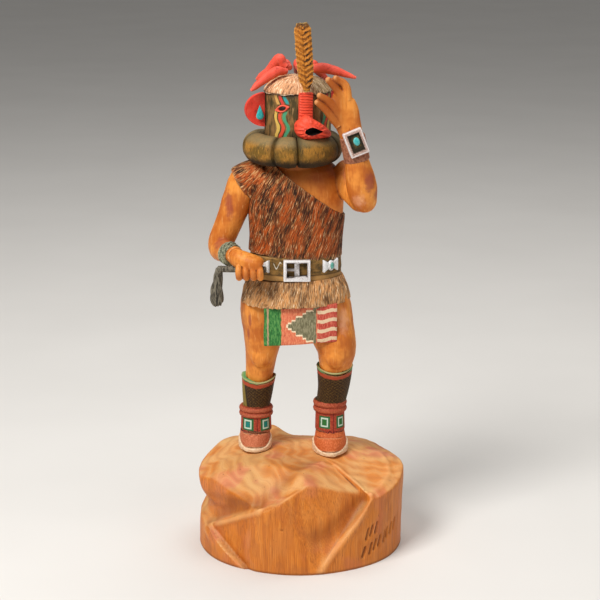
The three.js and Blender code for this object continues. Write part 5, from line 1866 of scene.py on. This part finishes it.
@dataclass
class Mask:
    """The case mask with its fringe, ridged nose, crooked snout and ringed eyes."""

    radius: float = 15.3
    depth_scale: float = 1.05
    low: float = 188.0
    high: float = 225.4
    fringe_z: float = 218.7
    eye_z: float = 212.4
    eye_turns: Sequence[float] = (-40, 40)
    nose: tuple[float, float, float, float] = (-3.7, 2.7, 205.6, 219.9)
    lips: Sequence[Station] = (
        (-4.2, 1.2, 203.8, 2.6, 1.4), (-3.2, -0.8, 203.9, 3.9, 2.8), (-1.0, -2.4, 203.9, 4.8, 3.7),
        (2.4, -2.8, 203.4, 4.4, 3.8), (6.4, -1.4, 202.2, 3.2, 3.2), (9.8, 0.8, 200.9, 1.9, 2.2),
        (11.2, 2.2, 200.5, 0.9, 1.2),
    )

    def ring(self, z: float, radius: float) -> Station:
        """A level ring of the mask, deeper than it is wide."""
        return (0, 0, z, radius, radius * self.depth_scale)

    def shell(self) -> Piece:
        """The case of the mask and its domed top."""
        r = self.radius
        shell = BENCH.loft("mask", [
            self.ring(self.low, r - 0.4), self.ring(195, r - 0.2), self.ring(207, r), self.ring(214, r),
            self.ring(218.4, r - 0.2), self.ring(221.2, r - 2), self.ring(223.6, r - 5.4),
            self.ring(225, r - 9.8), self.ring(self.high, r - 13.5),
        ], sides=96, rings=44)
        grain = Grain(71)

        def chisel(points: Rows, outward: Rows) -> Rows:
            """Leaves upright chisel strokes."""
            cut = grain.read(points * (0.5, 0.5, 0.09)) * 0.16 + grain.read(points * (1.1, 1.1, 0.2)) * 0.07
            return points + outward * cut[:, None]

        return BENCH.coat(BENCH.carve(shell, chisel), MaskPaint().mix())

    def fringe(self) -> Piece:
        """The clipped fringe, combed into strands."""
        r = self.radius
        fringe = BENCH.loft("fringe", [
            self.ring(self.fringe_z, r + 0.5), self.ring(self.fringe_z + 1.2, r + 0.1),
            self.ring(221.6, r - 1.2), self.ring(224.2, r - 4.8), self.ring(225.5, r - 9.6),
            self.ring(self.high + 0.4, r - 13.8),
        ], sides=240, rings=30)
        BENCH.slice(fringe, (0, 5, 220), (0, 1, 0))
        comb = Grain(72)

        def strands(points: Rows, outward: Rows) -> Rows:
            """Cuts the strands and clips their ends unevenly."""
            lie = combed(points, 16, 0.12)
            cut = comb.read(lie * 0.7) * 0.3 + np.abs(comb.read(lie * 0.3)) * 0.35
            points = points + outward * (cut - 0.15)[:, None]
            ends = step(-points[:, 2], -self.fringe_z - 1.0, -self.fringe_z)
            points[:, 2] += ends * comb.read(lie * 0.9) * 0.45
            return points

        return BENCH.coat(BENCH.carve(fringe, strands), FringePaint().mix())

    def snout(self, face: float, red: Material) -> Piece:
        """The crooked snout: thick lips round a dark slot that narrows to the left ear's side."""
        knots = [(x, face + y, z, a, b) for x, y, z, a, b in self.lips]
        lips = BENCH.loft("lips", knots, sides=48, rings=40)
        pleat = Grain(74)

        def pucker(points: Rows, outward: Rows) -> Rows:
            """Flattens the top into the nose and pleats the lips round the slot."""
            spoke = np.arctan2(points[:, 2] - 203, points[:, 0] - 1.2)
            pleats = np.cos(spoke * 19 + pleat.read(points * 0.3)) * 0.34
            front = step(-outward[:, 1], 0.1, 0.8)
            points = points + outward * (pleats * front)[:, None]
            points[:, 2] += 1.5 * bump(points[:, 0], -0.6, 2.6) * step(points[:, 2], 204, 207.4)
            return points

        BENCH.coat(BENCH.carve(lips, pucker), red)
        slot = BENCH.loft("slot", [
            (-1.9, face - 6.4, 202.6, 0.5, 3.2), (-0.6, face - 6.4, 202.9, 1.5, 3.4),
            (1.6, face - 6.2, 203.1, 1.9, 3.4), (3.8, face - 5.4, 202.9, 1.1, 3.2),
            (5.9, face - 4.4, 202.7, 0.35, 2.6),
        ], sides=24, rings=12)
        dark = PlainPaint("mouth_dark", (26, 14, 10), (14, 8, 6), 0.8).mix()
        return BENCH.combine(lips, BENCH.coat(slot, dark), "DIFFERENCE")

    def eye(self, turn: float, red: Material) -> list[Piece]:
        """A raised almond ring round a dark slot, lower towards the ear."""
        ring = BENCH.hoop("eye_ring", (0, 0, 0), 1.72, 0.55, (1.55, 0.78, 1.1), 40, 10)
        slot = BENCH.egg("eye_slot", (0, 0, -0.1), (1.9, 0.8, 0.5), 20)

        def almond(points: Rows, _: Rows) -> Rows:
            """Draws the ring out to a corner at both ends."""
            ends = np.clip(np.abs(points[:, 0]) / 3.1, 0, 1)
            points[:, 1] *= 1 - 0.45 * ends**2
            points[:, 0] *= 1 + 0.08 * ends
            return points

        out = self.radius * (1 + 0.05 * math.cos(math.radians(turn))) - 0.1
        stand = turned(turn, "Z") @ Matrix.Translation((0, -out, self.eye_z))
        stand = stand @ turned(-16 if turn < 0 else 16, "Y")
        stand = stand @ turned(90, "X")
        BENCH.coat(BENCH.carve(ring, almond), red)
        BENCH.coat(slot, PlainPaint("eye_dark", (30, 14, 12), (16, 8, 8), 0.5).mix())
        return [BENCH.shift(ring, stand), BENCH.shift(slot, stand)]

    def build(self) -> list[Piece]:
        """All the closed parts of the mask, standing where the turned head does."""
        face = -self.radius * self.depth_scale
        red = RedPaint("face_red", (230, 76, 48), (190, 48, 30)).mix()
        left, right, low, high = self.nose
        nose = BENCH.block("nose", (left, face - 2.1, low), (right, face + 3, high), bevel=0.5, cuts=31)

        uneven = Grain(73)

        def ripple(points: Rows, outward: Rows) -> Rows:
            """Rounds the nose and cuts its level ripples."""
            across = (points[:, 0] - (left + right) / 2) / (right - left) * 2
            waves = np.cos(points[:, 2] * 5 + across * 1.2 + uneven.read(points * 0.5) * 1.6) * 0.16
            points = points + outward * (waves * step(-outward[:, 1], 0.2, 0.9))[:, None]
            points[:, 1] += 0.5 * across**2
            points[:, 0] += (points[:, 2] - low) * 0.02
            return points

        BENCH.thin(BENCH.carve(nose, ripple), 0.25)
        BENCH.coat(nose, red)
        parts = [self.shell(), self.fringe(), nose, self.snout(face, red)]
        for turn in self.eye_turns:
            parts += self.eye(turn, red)
        return [BENCH.shift(part, HEAD.place()) for part in parts]


@dataclass
class Ruff:
    """The fat stuffed ruff round the neck, bound into lobes."""

    centre: Triple = (-3.4, -1.0, 192.8)
    ring: float = 16.7
    tube: float = 6.3
    bindings: Sequence[float] = (-173, -128, -83, -23, 7, 67, 127)
    groove: float = 1.5

    def build(self) -> Piece:
        """The ruff."""
        ruff = BENCH.hoop("ruff", (0, 0, 0), self.ring, self.tube, (1, 1, 1), 300, 34)
        stuffing = Grain(81)

        def bind(points: Rows, outward: Rows) -> Rows:
            """Pulls the bindings in between the lobes."""
            azimuth = np.degrees(np.arctan2(points[:, 0], -points[:, 1]))
            near = np.min([np.abs((azimuth - at + 180) % 360 - 180) for at in self.bindings], axis=0)
            pinch = self.groove * bump(near, 0, 1.4) + 0.4 * bump(near, 0, 7)
            flat = np.hypot(points[:, 0], points[:, 1])
            outside = step((flat - self.ring) / self.tube, -0.8, 0.2)
            lump = stuffing.read(points * 0.13) * 0.4 + stuffing.read(points * 0.5) * 0.1
            return points * (1, 1, 1.08) + outward * ((lump - pinch) * outside + 0.25)[:, None]

        BENCH.carve(ruff, bind)
        BENCH.shift(ruff, Matrix.Translation(self.centre))
        return BENCH.coat(ruff, RuffPaint(self.centre).mix())


@dataclass
class Figure:
    """The one carved figure: body, clothes, boots, ruff and mask in one piece of wood."""

    whip_room: Sequence[Station] = (
        (-38.5, -14.2, 138.1, 1.8, 1.8), (-28, -18.6, 139, 1.8, 1.8), (-15, -21.3, 139.4, 1.8, 1.8),
    )

    def build(self) -> None:
        """Carves every part, unites them and finishes the figure."""
        whole = Body().build()
        back = PlainPaint("back_cloth", (186, 96, 62), (160, 76, 46), 0.68, (1, 1, 0.3))
        log.info("skin: %d faces", len(whole.data.polygons))
        parts = [
            Tunic().build(), Belt().build(), Skirt().build(), *(boot.build() for boot in BOOTS),
            Flap("apron", -15.5, -16.7, 17.2, ApronPaint()).build(),
            Flap("back_flap", 15.9, -15.0, 12.0, back).build(),
            *Bracelets().build(), Ruff().build(), *Mask().build(),
        ]
        for part in parts:
            log.info("%s: %d faces", part.name, len(part.data.polygons))
            BENCH.combine(whole, part)
        room = BENCH.loft("whip_room", self.whip_room, UP, 20, 8)
        # painted shade: the bore through the fist round the whip's grip is darker than the skin
        BENCH.coat(room, PlainPaint("fist_hole_shade", (120, 60, 30), (90, 44, 20)).mix())
        BENCH.combine(whole, room, "DIFFERENCE")
        BENCH.finish(whole, "carved_figure", ["figure"], "painted_wood")


@dataclass
class Ear:
    """A half-round ear with its turquoise drop; side is -1 for the figure's right."""

    side: int
    radius: float = 7.7
    reach: float = 9.0
    z: float = 210.5
    thickness: float = 3.0
    head_radius: float = 15.3
    drop_half: float = 1.8
    drop_height: float = 6.6

    def build(self) -> None:
        """Both pieces, on the side of the turned head."""
        word = "right" if self.side < 0 else "left"
        ear = BENCH.blank("ear")
        bpy.ops.mesh.primitive_cylinder_add(
            vertices=72, radius=1, depth=self.thickness, rotation=(math.radians(90), 0, 0),
        )
        bpy.ops.transform.resize(value=(self.reach, 1, self.radius), center_override=(0, 0, 0))
        bpy.ops.mesh.select_all(action="SELECT")
        bpy.ops.mesh.bisect(plane_co=(0, 0, 0), plane_no=(1, 0, 0), use_fill=True, clear_inner=True)
        bpy.ops.mesh.select_all(action="DESELECT")
        mesh = bmesh.from_edit_mesh(ear.data)
        for face in mesh.faces:
            face.select = abs(face.normal.y) > 0.9
        bmesh.update_edit_mesh(ear.data)
        bpy.ops.mesh.inset(thickness=1.5)
        bpy.ops.transform.resize(value=(1, 0.72, 1), center_override=(0, 0, 0))
        BENCH.close()
        BENCH.soften(ear, 0.7, 3, 50)
        BENCH.apply(ear, "TRIANGULATE")
        place = HEAD.place() @ Matrix.Translation((self.side * (self.head_radius + GAP), 0.5, self.z))
        if self.side < 0:
            place = place @ turned(180, "Z")
        BENCH.shift(ear, place)
        BENCH.coat(ear, RedPaint(f"ear_red_{word}", (218, 60, 44), (180, 44, 28)).mix())
        BENCH.finish(ear, f"ear_{word}_carved", [f"ear_{word}"], "red_paint", crease=50)
        self.drop(word)

    def drop(self, word: str) -> None:
        """The inlaid drop: round below, drawn to a point above."""
        drop = BENCH.egg("drop", (0, 0, 0), (1, 0.62, 1), 40)

        def pear(points: Rows, _: Rows) -> Rows:
            """Draws the top of a ball up to a point."""
            x, y, z = points.T
            ball = np.sqrt(np.clip(1 - z**2, 1e-6, 1))
            thin = np.where(z > 0, (1 - np.clip(z, 0, 1)) ** 0.85 + 0.02, np.sqrt(np.clip(1 - z**2, 0, 1)))
            tall = np.where(z > 0, self.drop_height - self.drop_half, self.drop_half)
            share = thin / ball
            return np.stack([x * self.drop_half * share, y * np.minimum(1, share + 0.15), z * tall], axis=1)

        BENCH.carve(drop, pear)
        aside = self.side * (self.head_radius + 2.9)
        before = -self.thickness / 2 - 0.4 - GAP
        place = HEAD.place() @ Matrix.Translation((aside, before, self.z - 2.5))
        BENCH.coat(BENCH.shift(drop, place), Stone().mix())
        BENCH.finish(drop, f"ear_drop_{word}_stone", [f"ear_drop_{word}"], "turquoise")


@dataclass
class Plume:
    """The stiff carved feather before the fringe."""

    x: float = 3.1
    y: float = -17.8
    low: float = 220.6
    high: float = 251.2
    lean: float = 3.2
    half_width: float = 3.9
    half_thickness: float = 1.3
    sway: float = 2.2
    slope: float = 0.62
    barbs: float = 2.35

    def station(self, share: float, half: float, thick: float) -> Station:
        """A ring of the feather at a share of its height."""
        return (
            self.x - self.sway * share, self.y + self.lean * share, self.low + (self.high - self.low) * share,
            half * self.half_width, thick * self.half_thickness,
        )

    def build(self) -> None:
        """The feather, its barbs cut in a V on either side of the shaft."""
        stations = [self.station(0, 0.35, 0.6), self.station(0.08, 0.52, 0.9)]
        for share in np.linspace(0.16, 0.9, 11):
            swell = 0.74 + 0.26 * math.sin(math.pi * min(0.62, share * 0.8))
            stations.append(self.station(share, swell * 0.99, 1))
        stations.append(self.station(1, 0.6, 0.6))
        plume = BENCH.loft("plume", stations, sides=44, rings=110)
        fray = Grain(91)

        def barbed(points: Rows, outward: Rows) -> Rows:
            """Cuts the barbs, the shaft's groove and the frayed edges."""
            share = (points[:, 2] - self.low) / (self.high - self.low)
            across = points[:, 0] - self.x + self.sway * share
            phase = (points[:, 2] - np.abs(across) * self.slope) / self.barbs
            saw = phase - np.floor(phase)
            edge = step(np.abs(across), 1.4, 3.4)
            cut = (saw - 0.6) * 0.3 - 0.3 * bump(np.abs(across), 0, 0.3)
            points = points + outward * (cut * (1 - edge * 0.6) * step(share, 0.03, 0.12))[:, None]
            frayed = fray.read(points * (0.3, 0.3, 1.3)) * 0.15 + (saw - 0.5) * 0.1
            points[:, 0] += np.sign(across) * edge * frayed
            top = step(share, 0.93, 1.0)
            points[:, 2] += top * (fray.read(points * (1.1, 0.6, 0.1)) * 0.8 - 0.5)
            return points

        paint_of = PlumePaint(self.low, self.high, self.x, self.sway, self.slope, self.barbs)
        BENCH.coat(BENCH.carve(plume, barbed), paint_of.mix())
        BENCH.finish(plume, "plume", ["feather"], "feather_wood", crease=30)


@dataclass(frozen=True)
class Chilli:
    """One chilli: the way it points from the crown, its reach, crown, arch, tip and girth."""

    name: str
    azimuth: float
    reach: float
    crown_z: float
    arch: float
    tip_z: float
    radius: float
    start: float = 5.3

    def build(self) -> None:
        """The pepper, a little ribbed and wrinkled."""
        turn = math.radians(self.azimuth)
        way = Vector((math.cos(turn), math.sin(turn), 0))
        fall = self.crown_z - self.tip_z

        def at(out: float, z: float, share: float) -> Station:
            """A ring of the pepper, some way out from the crown."""
            return (HEAD.x + way.x * out, HEAD.y + way.y * out, z, self.radius * share, self.radius * share)

        reach, crown = self.reach, self.crown_z
        pepper = BENCH.loft("chilli", [
            at(self.start, crown, 0.5), at(self.start + 2, crown + self.arch * 0.4, 0.78),
            at(reach * 0.45, crown + self.arch, 1.02), at(reach * 0.68, crown - fall * 0.32, 0.88),
            at(reach * 0.87, crown - fall * 0.72, 0.58), at(reach, self.tip_z, 0.2),
        ], Vector((way.y, -way.x, 0.01)), sides=28, rings=36)
        BENCH.apply(pepper, "SMOOTH", factor=0.5, iterations=2)
        flesh = Grain(int(self.azimuth) + 100)

        def wrinkle(points: Rows, outward: Rows) -> Rows:
            """Dents the flesh along its length."""
            dents = flesh.read(points * 0.24) * 0.3 + flesh.read(points * 0.7) * 0.1
            return points + outward * dents[:, None]

        red = RedPaint(f"{self.name}_red", (222, 80, 60), (200, 74, 26))
        BENCH.coat(BENCH.carve(pepper, wrinkle), red.mix())
        BENCH.finish(pepper, f"{self.name}_carved", [self.name], "red_paint")


CHILLIES = (
    Chilli("chilli_right_side", 166, 19.6, 229.2, 3.6, 223, 2.6),
    Chilli("chilli_right_front", 206, 23.5, 227.7, 0.2, 220, 2.5),
    Chilli("chilli_left_side", 356, 26.8, 228.6, 0.4, 224.6, 2.4),
    Chilli("chilli_left_back", 45, 21, 228.4, 1, 220.5, 2.4),
    Chilli("chilli_back", 88, 22, 228.4, 1.2, 219, 2.5),
    Chilli("chilli_right_back", 128, 22.5, 228.4, 1.4, 220, 2.4),
)


@dataclass
class Whip:
    """The whip: a grip through the fist and a lash of dark twisted fibre."""

    grip: Sequence[Station] = (
        (-37.5, -14.6, 138.2, 1.5, 1.5), (-28, -18.6, 139, 1.5, 1.5), (-15.6, -21, 139.4, 1.5, 1.5),
    )
    lash: Sequence[Station] = (
        (-35.6, -14.8, 138.8, 1.2, 1.2), (-37.2, -14.4, 137.4, 1.7, 1.6), (-38, -13.8, 132, 2.2, 1.8),
        (-38.6, -13.4, 126, 3, 2.2), (-38.2, -13.2, 122, 2.8, 2), (-37.8, -13.2, 120.4, 1.6, 1.2),
    )

    def build(self) -> None:
        """The whip in one piece."""
        lash = BENCH.loft("lash", self.lash, sides=40, rings=60)

        def strands(points: Rows, outward: Rows) -> Rows:
            """Twists the lash into strands."""
            around = np.arctan2(points[:, 1] + 13.6, points[:, 0] + 38)
            return points + outward * (np.cos(around * 5 + points[:, 2] * 0.9) * 0.22)[:, None]

        BENCH.carve(lash, strands)
        whip = BENCH.combine(BENCH.loft("grip", self.grip, UP, 24, 12), lash)
        BENCH.coat(whip, PlainPaint("whip_fibre", (116, 108, 92), (36, 32, 26), 0.75, (1.4, 1.4, 0.3)).mix())
        BENCH.finish(whip, "whip_twisted", ["whip"], "dark_fibre")


# ---------------------------------------------------------------- the studio


@dataclass
class Studio:
    """A pale floor, soft lights and the camera."""

    camera_place: Triple = (0.0, -0.85, 0.34)
    camera_tilt: float = 75.466
    lens: float = 111.96
    lights: Sequence[tuple[str, Triple, Triple, float, float]] = (
        ("key", (-0.5, -0.62, 0.98), (0, 0, 0.12), 0.45, 14.5),
        ("fill", (0.8, -0.6, 0.4), (0, 0, 0.12), 0.8, 2.2),
        ("top", (0.15, 0.25, 1.1), (0, 0, 0.1), 0.6, 5.0),
    )

    def build(self) -> None:
        """Sets the stage."""
        bpy.ops.object.select_all(action="DESELECT")
        bpy.ops.mesh.primitive_plane_add(size=14, location=(0, 3, 0))
        floor = bpy.context.object
        floor.name = "floor"
        pot = Pot("floor_paper")
        tone = pot.noise(pot.place, 0.01, 2.0)
        pot.colour = pot.over((214, 210, 204), (222, 218, 212), tone)
        BENCH.coat(floor, pot.dress(0.9))
        for name, place, aim, size, watts in self.lights:
            bpy.ops.object.light_add(type="AREA", location=place)
            light = bpy.context.object
            light.name = name
            light.rotation_euler = (Vector(aim) - Vector(place)).to_track_quat("-Z", "Y").to_euler()
            light.data.size, light.data.energy = size, watts
        world = bpy.data.worlds.new("soft_room")
        world.use_nodes = True
        sky = world.node_tree.nodes["Background"].inputs
        sky[0].default_value, sky[1].default_value = (1, 1, 1, 1), 0.22
        bpy.context.scene.world = world
        bpy.context.scene.view_settings.view_transform = "Standard"
        tilt = math.radians(self.camera_tilt)
        bpy.ops.object.camera_add(location=self.camera_place, rotation=(tilt, 0, 0))
        camera = bpy.context.object
        camera.name = "camera"
        camera.data.lens, camera.data.sensor_width, camera.data.clip_start = self.lens, 36.0, 0.01
        bpy.context.scene.camera = camera


def main() -> None:
    """Builds every piece in order."""
    logging.basicConfig(level=logging.INFO, format="%(name)s: %(message)s")
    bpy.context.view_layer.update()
    Studio().build()
    Rock().build()
    Figure().build()
    for side in (-1, 1):
        Ear(side).build()
    Plume().build()
    for chilli in CHILLIES:
        chilli.build()
    Whip().build()


if __name__ == "__main__":
    main()
